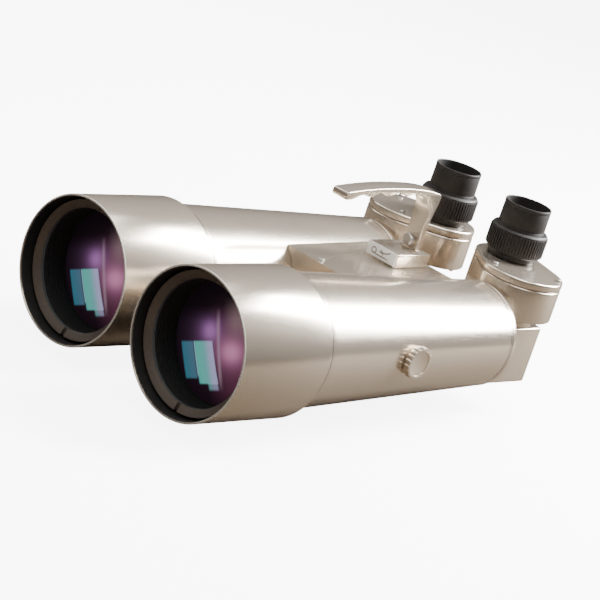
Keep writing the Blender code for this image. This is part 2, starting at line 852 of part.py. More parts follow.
def eyecup(label, side, paint):
    top = ring_top() + CUP_RISE
    bottom = ring_top() - CUP_OVERLAP
    inner = CUP_RADIUS - CUP_WALL
    rim_inner = CUP_RADIUS - CUP_RIM_WALL
    head_top = sleeve_head_bottom() + HEAD_HEIGHT
    profile = [
        (CUP_RADIUS - CUP_RIM_WALL / 2, top),
        (CUP_RADIUS, top - CUP_RIM_WALL / 2),
        (CUP_RADIUS, bottom),
        (inner, bottom),
        (inner, head_top + 1 * MM),
        (rim_inner, head_top + 2 * MM),
        (rim_inner, top),
    ]
    turned("eyecup_" + label, profile, at_depth(eye_x(side), eye_depth(), 0), (0, 0, 0), MID_STEPS, paint)


# Bridge, handle and foot

def barrel_envelope(label, side, clearance):
    """A solid cone just larger than a barrel, which shapes what lies against it."""
    front = taper_start()
    rear = barrel_end() + END_RING_LENGTH
    profile = facing_front([
        (0, front),
        (barrel_radius(front) + clearance, front),
        (barrel_radius(rear) + clearance, rear),
        (0, rear),
    ])
    return turned("envelope_" + label, profile, at_depth(tube_x(side), 0, 0), FORWARD, TUBE_STEPS, collection=cutters)


def bridge_casting(paint):
    half = TUBE_SPACING / 2
    obj = block(
        "bridge_casting",
        at_depth(-half, bridge_start(), BRIDGE_BOTTOM),
        at_depth(half, bridge_start() + BRIDGE_LENGTH, BRIDGE_TOP),
        paint,
    )
    for label, side in SIDES:
        cut(obj, barrel_envelope(label, side, SEAT_GAP))
    return obj


def foot_screw_depths():
    return {"front": foot_depth() - FOOT_SCREW_SPACING / 2, "rear": foot_depth() + FOOT_SCREW_SPACING / 2}


def foot_screw_top():
    return BRIDGE_BOTTOM + BIG_SCREW_BITE


def foot_bottom():
    return -AXIS_HEIGHT


def mounting_foot(paint):
    top = BRIDGE_BOTTOM - SEAT_GAP
    shoulder = foot_bottom() + FOOT_PLATE
    half = FOOT_WIDTH / 2
    reach = FOOT_LENGTH / 2
    obj = block(
        "mounting_foot",
        at_depth(-half, foot_depth() - reach, foot_bottom()),
        at_depth(half, foot_depth() + reach, shoulder),
        paint,
    )
    pad = block(
        "foot_pad",
        at_depth(-FOOT_PAD_WIDTH / 2, foot_depth() - FOOT_PAD_LENGTH / 2, shoulder - FOOT_PLATE / 2),
        at_depth(FOOT_PAD_WIDTH / 2, foot_depth() + FOOT_PAD_LENGTH / 2, top),
        collection=cutters,
    )
    join(obj, pad)
    for end, depth in foot_screw_depths().items():
        place = at_depth(0, depth, 0)
        cut(
            obj,
            rod(
                "foot_shank_hole_" + end, BIG_SHANK_RADIUS + HOLE_GAP, foot_bottom() - FOOT_PLATE, BRIDGE_TOP,
                place, steps=SMALL_STEPS, collection=cutters,
            ),
            rod(
                "foot_head_hole_" + end, BIG_HEAD_RADIUS + HOLE_GAP, foot_bottom() - FOOT_PLATE,
                foot_bottom() + BIG_HEAD_HEIGHT + 2 * HOLE_GAP, place, steps=SMALL_STEPS, collection=cutters,
            ),
        )
    cut(obj, rod(
        "foot_thread", FOOT_THREAD_RADIUS, foot_bottom() - FOOT_PLATE,
        foot_bottom() + FOOT_THREAD_DEPTH, at_depth(0, foot_depth(), 0), steps=MID_STEPS, collection=cutters,
    ))


def foot_screws(bridge, paint):
    """Two socket screws, up through the foot into the bridge, with their heads sunk in the plate."""
    head_bottom = foot_bottom() + HOLE_GAP
    head_top = head_bottom + BIG_HEAD_HEIGHT
    top = foot_screw_top()
    for end, depth in foot_screw_depths().items():
        profile = [
            (0, top),
            (BIG_SHANK_RADIUS, top),
            (BIG_SHANK_RADIUS, head_top),
            (BIG_HEAD_RADIUS, head_top),
            (BIG_HEAD_RADIUS, head_bottom),
            (0, head_bottom),
        ]
        place = at_depth(0, depth, 0)
        turned("foot_screw_" + end, profile, place, (0, 0, 0), SMALL_STEPS, paint)
        cut(bridge, rod(
            "bridge_thread_" + end, BIG_SHANK_RADIUS + HOLE_GAP, BRIDGE_BOTTOM - BIG_HEAD_HEIGHT, top + HOLE_GAP,
            place, steps=SMALL_STEPS, collection=cutters,
        ))


def bridge_screw(bridge, paint):
    place = at_depth(0, bridge_start() + BRIDGE_SCREW_INSET, BRIDGE_TOP)
    screw("bridge_screw", place, (0, 0, 0), paint)
    cut(bridge, rod(
        "bridge_screw_hole", SCREW_SHANK_RADIUS + HOLE_GAP, -SCREW_SHANK_LENGTH, SCREW_SHANK_LENGTH,
        place, steps=SMALL_STEPS, collection=cutters,
    ))


def block_top():
    return BRIDGE_TOP + SEAT_GAP + BLOCK_HEIGHT


def handle_block(paint):
    half = BLOCK_WIDTH / 2
    obj = block(
        "handle_block",
        at_depth(-half, block_start(), BRIDGE_TOP + SEAT_GAP),
        at_depth(half, block_start() + BLOCK_LENGTH, block_top()),
        paint,
    )
    slot = block(
        "handle_slot",
        at_depth(-HANDLE_WIDTH / 2 - SEAT_GAP, post_front() - SEAT_GAP, block_top() - TENON_DEPTH - SEAT_GAP),
        at_depth(HANDLE_WIDTH / 2 + SEAT_GAP, post_front() + POST_THICKNESS + SEAT_GAP, block_top() + TENON_DEPTH),
        collection=cutters,
    )
    cut(obj, slot)


def name_plate(paint):
    half = BLOCK_WIDTH / 2 - 0.4 * MM
    rear = block_start() - SEAT_GAP
    block(
        "name_plate",
        at_depth(-half, rear - PLATE_THICKNESS, BRIDGE_TOP + 2 * SEAT_GAP),
        at_depth(half, rear, block_top() - SEAT_GAP),
        paint,
    )


def handle_start():
    return post_front() - HANDLE_REACH


def handle_back():
    return post_front() + HANDLE_OVERHANG


def crown_depth():
    return post_front() - HANDLE_CROWN_REACH


def crown_height():
    return block_top() + HANDLE_RISE


def handle_top(depth):
    """Height of the grip's crowned top: it falls gently to the tip and faster to the post."""
    reach = depth - crown_depth()
    if reach < 0:
        return crown_height() - HANDLE_TIP_DROP * (reach / (crown_depth() - handle_start())) ** 2
    return crown_height() - HANDLE_TIP_DROP * (reach / (handle_back() - crown_depth())) ** 3


def handle_under(depth):
    """Height of the underside, scalloped for the fingers behind the tip."""
    start = handle_start() + 7 * MM
    phase = (depth - start) / FINGER_PITCH
    low = handle_top(depth) - HANDLE_THICKNESS
    if 0 < phase < FINGERS:
        low += FINGER_SINK * abs(sin(pi * phase))
    return low


def carry_handle(paint):
    outline = []
    steps = 14
    for i in range(steps + 1):
        depth = handle_start() + 1.5 * MM + (handle_back() - handle_start() - 3 * MM) * i / steps
        outline.append((depth, handle_top(depth)))
    rear_top = handle_top(handle_back())
    post_back = post_front() + POST_THICKNESS
    tenon = block_top() - TENON_DEPTH
    outline += [
        (handle_back(), rear_top - 2 * MM),
        (handle_back() - 1.0 * MM, rear_top - 9 * MM),
        (post_back + 0.8 * MM, rear_top - 18 * MM),
        (post_back, rear_top - 28 * MM),
        (post_back, tenon),
        (post_front(), tenon),
    ]
    corner_height = handle_under(post_front() - POST_FILLET) - POST_FILLET
    outline += arc((post_front() - POST_FILLET, corner_height), POST_FILLET, 0, pi / 2, 4)
    scallop_end = handle_start() + 7 * MM + FINGERS * FINGER_PITCH
    quarter = FINGER_PITCH / 4
    last = post_front() - POST_FILLET
    steps = FINGERS * 4
    for i in range(steps + 1):
        depth = scallop_end - i * quarter
        if depth < last - quarter / 2:
            outline.append((depth, handle_under(depth)))
    outline += [
        (handle_start() + 3 * MM, handle_under(handle_start() + 3 * MM)),
        (handle_start(), handle_under(handle_start()) + 2 * MM),
        (handle_start(), handle_top(handle_start()) - 1.5 * MM),
    ]
    outline.reverse()
    place = at_depth(0, 0, 0)
    obj = extruded("carry_handle", outline, HANDLE_WIDTH, place, (pi / 2, 0, pi / 2), paint)
    hole = rod(
        "thumb_hole", THUMB_SHANK + HOLE_GAP, -HANDLE_WIDTH, HANDLE_WIDTH,
        at_depth(0, post_front(), block_top() + THUMB_RISE), FORWARD, SMALL_STEPS, collection=cutters,
    )
    cut(obj, hole)


def thumb_screw(paint):
    """A knurled head before the post, with its shank through the post to the nut behind."""
    ridges = 12
    outline = []
    for i in range(2 * ridges):
        radius = THUMB_RADIUS - (0.4 * MM if i % 2 else 0)
        outline.append((radius * cos(pi * i / ridges), radius * sin(pi * i / ridges)))
    height = block_top() + THUMB_RISE
    head = at_depth(0, post_front() - SEAT_GAP - THUMB_LENGTH / 2, height)
    obj = extruded("handle_thumb_screw", outline, THUMB_LENGTH, head, FORWARD, paint)
    end = POST_THICKNESS + SEAT_GAP + NUT_LENGTH + SEAT_GAP
    shank = rod(
        "thumb_shank", THUMB_SHANK, -end, THUMB_LENGTH / 2,
        at_depth(0, post_front(), height), FORWARD, SMALL_STEPS, collection=cutters,
    )
    join(obj, shank)


def lock_nut(paint):
    start = post_front() + POST_THICKNESS + SEAT_GAP
    place = at_depth(0, start + NUT_LENGTH / 2, block_top() + THUMB_RISE)
    outline = [(NUT_RADIUS * cos(pi * i / 3), NUT_RADIUS * sin(pi * i / 3)) for i in range(6)]
    obj = extruded("handle_lock_nut", outline, NUT_LENGTH, place, FORWARD, paint)
    cut(obj, rod(
        "nut_bore", THUMB_SHANK + HOLE_GAP, -NUT_LENGTH, NUT_LENGTH, place, FORWARD, SMALL_STEPS, collection=cutters,
    ))


def side_knob(label, side, paint):
    """A scalloped knob on the outer side of each barrel, over the trunnion socket."""
    start = barrel_radius(knob_depth()) + KNOB_BOSS_RISE + SEAT_GAP
    count = 4 * KNOB_SCALLOPS
    outline = []
    for i in range(count):
        radius = KNOB_RADIUS - KNOB_SCALLOP_SINK * (1 - cos(pi * i / 2)) / 2
        outline.append((radius * cos(2 * pi * i / count), radius * sin(2 * pi * i / count)))
    x = tube_x(side) + side * (start + KNOB_LENGTH / 2)
    extruded("side_knob_" + label, outline, KNOB_LENGTH, at_depth(x, knob_depth(), KNOB_RISE), outward(side), paint)


def main():
    global parts, cutters
    clear_scene()
    parts = new_collection("binoculars")
    cutters = new_collection("cutters", hidden=True)

    silver = material("champagne_paint", (0.62, 0.57, 0.50), 0.32, 0.6)
    black = material("black_anodised", (0.02, 0.018, 0.017), 0.45)
    rubber = material("black_rubber", (0.03, 0.027, 0.025), 0.7)
    grey = material("retainer_grey", (0.16, 0.14, 0.13), 0.5)
    glass = material("coated_glass", (0.55, 0.75, 0.78), 0.05)
    steel = material("steel", (0.6, 0.58, 0.55), 0.35, 1.0)
    white = material("plate_white", (0.85, 0.85, 0.84), 0.4)
    felt = material("felt", (0.05, 0.05, 0.05), 0.9)

    for label, side in SIDES:
        dew_shield(label, side, silver)
        guide_ring(label, side, felt)
        barrel(label, side, silver)
        end_ring(label, side, silver)
        retaining_ring(label, side, grey)
        front_baffle(label, side, black)
        objective_cell(label, side, black)
        objective_lenses(label, side, glass)
        prism_box(label, side, silver)
        erecting_prism(label, side, glass)
        swivel_collar(label, side, black)
        turret_body(label, side, silver)
        turret_lid(label, side, silver)
        rhomboid_prism(label, side, glass)
        eyepiece_base(label, side, black)
        focus_ring(label, side, rubber)
        eyepiece_sleeve(label, side, black)
        eye_lens(label, side, glass)
        eyecup(label, side, rubber)
        side_knob(label, side, silver)
        for end, spot in lid_screw_places(side).items():
            screw("lid_screw_%s_%s" % (end, label), at_depth(spot.x, spot.y, lid_top()), (0, 0, 0), steel)
        depth, height = box_screw_place()
        face = tube_x(side) + side * BOX_WIDTH / 2
        screw("box_screw_" + label, at_depth(face, depth, height), outward(side), steel)
        screw("stop_screw_" + label, at_depth(*stop_screw_place(side), turret_bottom()), (pi, 0, 0), steel)

    bridge = bridge_casting(silver)
    bridge_screw(bridge, steel)
    mounting_foot(silver)
    foot_screws(bridge, steel)
    handle_block(silver)
    name_plate(white)
    carry_handle(silver)
    thumb_screw(steel)
    lock_nut(steel)


main()
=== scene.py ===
# Large observing binoculars: two tubes on a bridge, prism turrets, a carry handle and a mounting foot.
from math import cos, hypot, pi, radians, sin

import bpy
from mathutils import Matrix, Vector


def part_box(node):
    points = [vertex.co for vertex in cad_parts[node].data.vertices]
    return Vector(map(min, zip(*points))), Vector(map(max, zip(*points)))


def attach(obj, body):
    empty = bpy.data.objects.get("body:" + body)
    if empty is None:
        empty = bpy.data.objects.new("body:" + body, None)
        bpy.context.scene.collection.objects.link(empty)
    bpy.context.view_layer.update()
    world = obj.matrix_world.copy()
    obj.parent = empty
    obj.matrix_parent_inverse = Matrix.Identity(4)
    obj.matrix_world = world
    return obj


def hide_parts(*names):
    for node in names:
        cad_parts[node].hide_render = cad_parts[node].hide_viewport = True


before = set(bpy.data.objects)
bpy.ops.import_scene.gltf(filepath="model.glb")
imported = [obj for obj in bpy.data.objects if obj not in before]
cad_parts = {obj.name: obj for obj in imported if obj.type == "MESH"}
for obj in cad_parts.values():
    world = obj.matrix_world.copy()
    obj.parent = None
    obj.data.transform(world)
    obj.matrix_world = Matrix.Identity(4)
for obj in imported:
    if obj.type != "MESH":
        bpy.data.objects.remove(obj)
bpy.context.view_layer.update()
mm = 0.001
sides = {"left": 1, "right": -1}  # which way each side lies along X
print("loaded", len(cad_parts), "nodes")


# Shader maths

class Sock:
    def __init__(self, graph, socket):
        self.graph = graph
        self.socket = socket

    def calc(self, operation, other=None, swap=False):
        values = [self, other] if not swap else [other, self]
        inputs = {i: v for i, v in enumerate(values) if v is not None}
        return self.graph.node("ShaderNodeMath", {"operation": operation}, inputs)

    def __add__(self, other):
        return self.calc("ADD", other)

    __radd__ = __add__

    def __sub__(self, other):
        return self.calc("SUBTRACT", other)

    def __rsub__(self, other):
        return self.calc("SUBTRACT", other, True)

    def __mul__(self, other):
        return self.calc("MULTIPLY", other)

    __rmul__ = __mul__

    def __truediv__(self, other):
        return self.calc("DIVIDE", other)

    def __rtruediv__(self, other):
        return self.calc("DIVIDE", other, True)

    def __pow__(self, other):
        return self.calc("POWER", other)

    def __gt__(self, other):
        return self.calc("GREATER_THAN", other)

    def __lt__(self, other):
        return self.calc("LESS_THAN", other)


class Graph:
    def __init__(self, name):
        self.made = bpy.data.materials.new(name)
        self.made.use_nodes = True
        self.tree = self.made.node_tree
        self.shader = self.tree.nodes["Principled BSDF"]
        self.coords = self.node("ShaderNodeTexCoord", {}, {}, "Object")

    def node(self, kind, settings, inputs, output=0):
        made = self.tree.nodes.new(kind)
        for key, value in settings.items():
            if key == "stops":
                ramp = made.color_ramp.elements
                while len(ramp) < len(value):
                    ramp.new(0.5)
                for stop, (place, colour) in zip(ramp, value):
                    stop.position = place
                    stop.color = (*colour, 1)
            else:
                setattr(made, key, value)
        for key, value in inputs.items():
            if isinstance(value, Sock):
                self.tree.links.new(value.socket, made.inputs[key])
            else:
                made.inputs[key].default_value = value
        return Sock(self, made.outputs[output])

    def crossAxes(self, centre):
        # distances from a centre along X and Z
        split = self.tree.nodes.new("ShaderNodeSeparateXYZ")
        self.tree.links.new(self.coords.socket, split.inputs[0])
        return [Sock(self, split.outputs[i]) - centre[i] for i in (0, 2)]

    def noise(self, scale, detail=3.0, rough=0.5, stretch=(1, 1, 1)):
        where = self.node("ShaderNodeMapping", {}, {"Vector": self.coords, "Scale": stretch})
        sockets = {"Vector": where, "Scale": scale, "Detail": detail, "Roughness": rough}
        return self.node("ShaderNodeTexNoise", {}, sockets)

    def ramp(self, factor, stops):
        return self.node("ShaderNodeValToRGB", {"stops": stops}, {"Fac": factor})

    def mix(self, factor, first, second):
        return self.node("ShaderNodeMix", {"data_type": "RGBA"}, {0: factor, 6: first, 7: second}, 2)

    def bump(self, height, strength, distance):
        sockets = {"Height": height, "Strength": strength, "Distance": distance}
        return self.node("ShaderNodeBump", {}, sockets)

    def feed(self, **sockets):
        names = {"color": "Base Color", "roughness": "Roughness", "metallic": "Metallic", "alpha": "Alpha",
                 "normal": "Normal", "coat": "Coat Weight", "coatRoughness": "Coat Roughness",
                 "glow": "Emission Color", "glowStrength": "Emission Strength",
                 "specular": "Specular IOR Level", "sheen": "Sheen Weight"}
        for key, value in sockets.items():
            socket = self.shader.inputs[names[key]]
            if isinstance(value, Sock):
                self.tree.links.new(value.socket, socket)
            else:
                socket.default_value = value
        return self.made


def near(value, centre, width):
    # 1 at the centre, falling to 0 over the width
    gap = (value - centre).calc("ABSOLUTE") / width
    return (1 - gap).calc("MAXIMUM", 0.0)


def shade(*rgb):
    return (*rgb, 1)


# Finishes

paintLook = {"light": (0.79, 0.70, 0.59), "dark": (0.70, 0.61, 0.50), "rough": 0.21,
             "flake": 2600, "peel": 420}  # the last two are noise scales


def champagnePaint():
    g = Graph("champagnePaint")
    flake = g.noise(paintLook["flake"], 2.0)
    peel = g.noise(paintLook["peel"], 2.0)
    haze = g.noise(16.0, 4.0, 0.6)
    smear = g.noise(60.0, 5.0, 0.65, (1, 0.25, 1))
    tone = g.mix(haze * 0.55 + flake * 0.45, shade(*paintLook["dark"]), shade(*paintLook["light"]))
    rough = paintLook["rough"] + (smear - 0.5) * 0.10 + (flake - 0.5) * 0.06
    return g.feed(color=tone, roughness=rough, metallic=0.86, coat=0.35, coatRoughness=0.12,
                  normal=g.bump(peel * 0.7 + flake * 0.3, 0.10, 0.00012))


def blackPaint():
    g = Graph("blackFlockPaint")
    grain = g.noise(1800.0, 5.0, 0.7)
    return g.feed(color=g.mix(grain, shade(0.006, 0.006, 0.006), shade(0.022, 0.020, 0.019)),
                  roughness=0.62 + grain * 0.25, normal=g.bump(grain, 0.5, 0.0003))


def blackAnodised():
    g = Graph("blackAnodised")
    grain = g.noise(2200.0, 3.0)
    dust = g.noise(45.0, 5.0, 0.7)
    turning = g.noise(700.0, 2.0, 0.5, (0.02, 0.02, 3))
    tone = g.mix(dust * 0.6 + grain * 0.4, shade(0.007, 0.0065, 0.006), shade(0.024, 0.020, 0.018))
    return g.feed(color=tone, roughness=0.30 + dust * 0.14, coat=0.15,
                  normal=g.bump(turning * 0.6 + grain * 0.4, 0.14, 0.0002))


def blackRubber():
    g = Graph("blackRubber")
    grain = g.noise(2600.0, 5.0, 0.65)
    dust = g.noise(38.0, 5.0, 0.7)
    return g.feed(color=g.mix(dust, shade(0.008, 0.007, 0.0065), shade(0.024, 0.019, 0.017)),
                  roughness=0.46 + grain * 0.16 - dust * 0.06, sheen=0.05,
                  normal=g.bump(grain, 0.22, 0.0003))


def turnedGrey(name, dark, light, centre, rough, metallic=0.55):
    # satin metal with fine turning rings about a tube's axis
    g = Graph(name)
    x, z = g.crossAxes(centre)
    reach = (x * x + z * z) ** 0.5
    rings = (reach * 9000).calc("SINE")
    grain = g.noise(1500.0, 3.0)
    return g.feed(color=g.mix(grain * 0.5 + rings * 0.12 + 0.25, shade(*dark), shade(*light)),
                  roughness=rough + (grain - 0.5) * 0.14, metallic=metallic,
                  normal=g.bump(rings * 0.5 + grain * 0.5, 0.18, 0.0001))


def turnedSteel():
    g = Graph("turnedSteel")
    grain = g.noise(1400.0, 4.0, 0.6)
    stain = g.noise(160.0, 4.0, 0.6)
    return g.feed(color=g.mix(stain, shade(0.50, 0.475, 0.44), shade(0.72, 0.70, 0.66)),
                  roughness=0.24 + grain * 0.16, metallic=1.0, normal=g.bump(grain, 0.1, 0.0001))


def plateWhite(centre):
    # glossy white plate with a printed generic mark: a bar, a ring and two short strokes
    g = Graph("plateWhite")
    x, z = g.crossAxes(centre)
    bar = near(z, -2.1 * mm, 0.5 * mm) * near(x, 0.0, 9 * mm)
    swoosh = near(z - x * x * 42 - 0.6 * mm, 0.0, 0.55 * mm) * (x < 8 * mm) * (x > -2 * mm)
    ring = near((((x + 7 * mm) * (x + 7 * mm) + z * z) ** 0.5), 2.0 * mm, 0.45 * mm)
    stroke = near(x + z * 0.6 - 1.0 * mm, 0.0, 0.5 * mm) * (z > -1.0 * mm) * (z < 2.6 * mm)
    mark = ((bar + swoosh + ring + stroke) * 3).calc("MINIMUM", 1.0)
    scuff = g.noise(300.0, 4.0, 0.6)
    paper = g.mix(scuff, shade(0.86, 0.86, 0.85), shade(0.93, 0.93, 0.92))
    ink = shade(0.10, 0.10, 0.11)
    return g.feed(color=g.mix(mark, paper, ink), roughness=0.26 + scuff * 0.12, coat=0.5,
                  normal=g.bump(scuff, 0.05, 0.0001))


def feltBlack():
    g = Graph("feltBlack")
    fibre = g.noise(3200.0, 6.0, 0.8)
    return g.feed(color=g.mix(fibre, shade(0.008, 0.008, 0.008), shade(0.03, 0.03, 0.03)),
                  roughness=0.95, sheen=0.4, normal=g.bump(fibre, 0.8, 0.0004))


def softStep(value, low, high):
    # 0 below low, 1 above high
    return ((value - low) / (high - low)).calc("MAXIMUM", 0.0).calc("MINIMUM", 1.0)


def band(value, low, high, soft):
    return softStep(value, low - soft, low + soft) * (1 - softStep(value, high - soft, high + soft))


# glow strength and colours of the front lens's painted reflections
lensReflectionLook = {"glow": 0.9, "reflectedPaneStops": [(0.0, (0.05, 0.26, 0.36)), (0.38, (0.10, 0.24, 0.36)),
                                        (0.5, (0.10, 0.50, 0.42)), (0.72, (0.16, 0.46, 0.46)),
                                        (0.9, (0.42, 0.42, 0.66))]}


def lensPaintedReflections(centre):
    # multicoated front lens: black in the tube, with painted reflections glowing on it: teal window panes in
    # the middle and a magenta painted coating reflection beside them
    g = Graph("lensPaintedReflections")
    x, z = g.crossAxes(centre)
    across = x * 0.905 + z * 0.425
    up = z * 0.905 - x * 0.425
    wave = g.noise(70.0, 2.0, 0.5)
    lean = across + up * 0.12
    # painted reflections of two window panes and their foot, glowing teal
    leftPaneReflection = band(lean, -36.5 * mm, -25.2 * mm, 0.5 * mm) * band(up, -22.5 * mm, 1.2 * mm, 0.6 * mm)
    rightPaneReflection = band(lean, -24.0 * mm, -7.2 * mm, 0.5 * mm) * band(up, -26 * mm, 1.2 * mm, 0.6 * mm)
    foot = band(lean, -16 * mm, -7.6 * mm, 0.7 * mm) * band(up, -30 * mm, -22 * mm, 0.9 * mm)
    paneReflections = (leftPaneReflection * 0.62 + rightPaneReflection + foot * 0.6).calc("MINIMUM", 1.0)
    # edge is a painted glint along the split between the two pane reflections
    edge = near(lean, -24.0 * mm, 0.9 * mm) * band(up, -21 * mm, 1.0 * mm, 0.8 * mm)
    reflectedPaneTone = g.ramp(softStep(lean, -37 * mm, -7 * mm), lensReflectionLook["reflectedPaneStops"])

    # painted reflections in the coating: two magenta blobs, a wash, a streak and a pale patch
    def reflectionBlob(centreAcross, centreUp, wide, tall):
        a = (across - centreAcross * mm) / (wide * mm)
        b = (up - centreUp * mm) / (tall * mm)
        return 1 / (1 + (a * a + b * b) ** 1.35)

    core = reflectionBlob(9, -6, 9, 7)
    upper = reflectionBlob(-9, 7.5, 7, 6) * (1 - softStep(up, 14 * mm, 24 * mm))
    wash = softStep(across, -13 * mm, 9 * mm) * band(up, -38 * mm, 18 * mm, 7 * mm)
    streak = near(across, -1.8 * mm, 2.2 * mm) * band(up, -26 * mm, 17 * mm, 5 * mm)
    pale = band(across, 7 * mm, 40 * mm, 5 * mm) * band(up, 5 * mm, 22 * mm, 7 * mm)
    # the painted reflections all go into Emission Color, so the black lens glows with them
    glow = g.mix(wash * (0.55 + wave * 0.4), shade(0.0015, 0.0015, 0.002), shade(0.085, 0.022, 0.045))
    glow = g.mix((upper * 0.9).calc("MINIMUM", 1.0), glow, shade(0.36, 0.16, 0.42))
    glow = g.mix((core * 0.95).calc("MINIMUM", 1.0), glow, shade(0.62, 0.24, 0.42))
    glow = g.mix(pale * 0.45, glow, shade(0.34, 0.24, 0.25))
    glow = g.mix(streak * 0.45, glow, shade(0.50, 0.34, 0.44))
    glow = g.mix(paneReflections * (0.86 + wave * 0.14), glow, reflectedPaneTone)
    glow = g.mix(edge * 0.7, glow, shade(0.35, 0.60, 0.72))
    wipe = g.noise(30.0, 4.0, 0.6)
    return g.feed(color=shade(0.002, 0.002, 0.003), roughness=0.04 + wipe * 0.03, coat=0.0,
                  glow=glow, glowStrength=lensReflectionLook["glow"], specular=0.06)


def eyeGlass():
    g = Graph("eyeGlass")
    wipe = g.noise(200.0, 3.0)
    tone = g.mix(wipe, shade(0.006, 0.010, 0.012), shade(0.012, 0.02, 0.022))
    # a faint teal painted glow stands in for light reflected in the eye lens
    return g.feed(color=tone, roughness=0.03 + wipe * 0.02, coat=0.8, coatRoughness=0.02,
                  glow=shade(0.01, 0.02, 0.025), glowStrength=0.3)


def prismGlass():
    g = Graph("prismGlass")
    wipe = g.noise(90.0, 3.0)
    tone = g.mix(wipe, shade(0.50, 0.66, 0.68), shade(0.60, 0.76, 0.78))
    return g.feed(color=tone, roughness=0.05 + wipe * 0.05, coat=0.4, alpha=0.6)


def bareRim():
    # the turned edge of the dew shields, where the paint stops
    g = Graph("bareRim")
    grain = g.noise(1500.0, 3.0)
    tone = g.mix(grain, shade(0.80, 0.76, 0.70), shade(0.92, 0.89, 0.84))
    return g.feed(color=tone, roughness=0.45 + grain * 0.15, metallic=0.15,
                  normal=g.bump(grain, 0.06, 0.0001))


paint = champagnePaint()
rimLook = bareRim()
flock = blackPaint()
anodised = blackAnodised()
rubber = blackRubber()
steel = turnedSteel()
felt = feltBlack()
eyeLensLook = eyeGlass()
prismLook = prismGlass()
print("finishes made")


# Modelling helpers

def centreOf(node):
    low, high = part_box(node)
    return (Vector(low) + Vector(high)) / 2


def sizeOf(node):
    low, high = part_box(node)
    return Vector(high) - Vector(low)


def deselect():
    if bpy.context.object and bpy.context.object.mode != "OBJECT":
        bpy.ops.object.mode_set(mode="OBJECT")
    bpy.ops.object.select_all(action="DESELECT")


def settle(obj, name, *looks):
    # name it, put its place into its mesh and give it its looks
    deselect()
    obj.name = name
    obj.data.name = name
    obj.select_set(True)
    bpy.context.view_layer.objects.active = obj
    bpy.ops.object.transform_apply(location=True, rotation=True, scale=True)
    for look in looks:
        obj.data.materials.append(look)
    return obj


def applyAll(obj):
    deselect()
    obj.select_set(True)
    bpy.context.view_layer.objects.active = obj
    for modifier in list(obj.modifiers):
        bpy.ops.object.modifier_apply(modifier=modifier.name)
    return obj


def soften(obj, width, segments=3, angle=35):
    bevel = obj.modifiers.new("edges", "BEVEL")
    bevel.width = width
    bevel.segments = segments
    bevel.limit_method = "ANGLE"
    bevel.angle_limit = radians(angle)
    bevel.harden_normals = False
    return applyAll(obj)


def smooth(obj, angle=35):
    deselect()
    obj.select_set(True)
    bpy.context.view_layer.objects.active = obj
    bpy.ops.object.shade_smooth_by_angle(angle=radians(angle))
    return obj


def turned(name, stations, centre, axis, looks, body, node, count, closed=True):
    # a circle at the first station is extruded and resized through the others; a hollow shape
    # bridges back to its start
    axis = Vector(axis)
    tilt = axis.to_track_quat("Z", "Y").to_euler()
    centre = Vector(centre)
    deselect()
    radius, along = stations[0]
    start = centre + axis * along
    bpy.ops.mesh.primitive_circle_add(vertices=count, radius=radius, location=start, rotation=tilt)
    obj = bpy.context.object
    bpy.ops.object.mode_set(mode="EDIT")
    for before, after in zip(stations, stations[1:]):
        step = axis * (after[1] - before[1])
        bpy.ops.mesh.extrude_region_move(TRANSFORM_OT_translate={"value": step})
        scale = after[0] / before[0]
        if scale != 1:
            spot = centre + axis * after[1]
            bpy.ops.transform.resize(value=(scale, scale, scale), center_override=spot)
    bpy.ops.mesh.select_all(action="SELECT")
    bpy.ops.mesh.remove_doubles(threshold=0.000001)
    bpy.ops.mesh.select_all(action="DESELECT")
    bpy.ops.mesh.select_non_manifold(extend=False)
    if closed:
        bpy.ops.mesh.bridge_edge_loops()
    else:
        bpy.ops.mesh.fill_holes(sides=0)
    bpy.ops.mesh.select_all(action="SELECT")
    bpy.ops.mesh.normals_make_consistent(inside=False)
    bpy.ops.object.mode_set(mode="OBJECT")
    settle(obj, name, *looks)
    smooth(obj)
    return ownIt(obj, body, node)


def ownIt(obj, body, node=None):
    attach(obj, body)
    if node:
        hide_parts(*([node] if isinstance(node, str) else node))
    return obj


def softCopy(node, name, width, look, body, angle=30, segments=3, shadeAngle=35):
    # a copy of a CAD node with its flats merged and its edges rounded
    deselect()
    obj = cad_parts[node].copy()
    obj.data = obj.data.copy()
    obj.parent = None
    bpy.context.scene.collection.objects.link(obj)
    obj.data.materials.clear()
    obj.hide_render = False
    obj.select_set(True)
    bpy.context.view_layer.objects.active = obj
    bpy.ops.object.mode_set(mode="EDIT")
    bpy.ops.mesh.select_all(action="SELECT")
    bpy.ops.mesh.remove_doubles(threshold=0.00001)
    bpy.ops.mesh.dissolve_limited(angle_limit=radians(1))
    bpy.ops.object.mode_set(mode="OBJECT")
    settle(obj, name, look)
    soften(obj, width, segments, angle)
    smooth(obj, shadeAngle)
    ownIt(obj, body, node)
    return obj


def give(node, look):
    # a CAD node that stays as it is gets a better material
    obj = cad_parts[node]
    obj.data.materials.clear()
    obj.data.materials.append(look)


def join(parts):
    # all of them become part of the first
    deselect()
    for part in parts:
        part.select_set(True)
    bpy.context.view_layer.objects.active = parts[0]
    bpy.ops.object.join()


def cylinder(radius, low, high, centre, axis, count=64):
    axis = Vector(axis)
    deselect()
    bpy.ops.mesh.primitive_cylinder_add(
        vertices=count, radius=radius, depth=high - low,
        location=Vector(centre) + axis * (low + high) / 2, rotation=axis.to_track_quat("Z", "Y").to_euler(),
    )
    return bpy.context.object


def cut(obj, tool):
    # takes the tool's shape out of the piece and throws the tool away
    modifier = obj.modifiers.new("cut", "BOOLEAN")
    modifier.operation = "DIFFERENCE"
    modifier.object = tool
    modifier.solver = "EXACT"
    applyAll(obj)
    bpy.data.objects.remove(tool, do_unlink=True)
    return obj


# Tubes

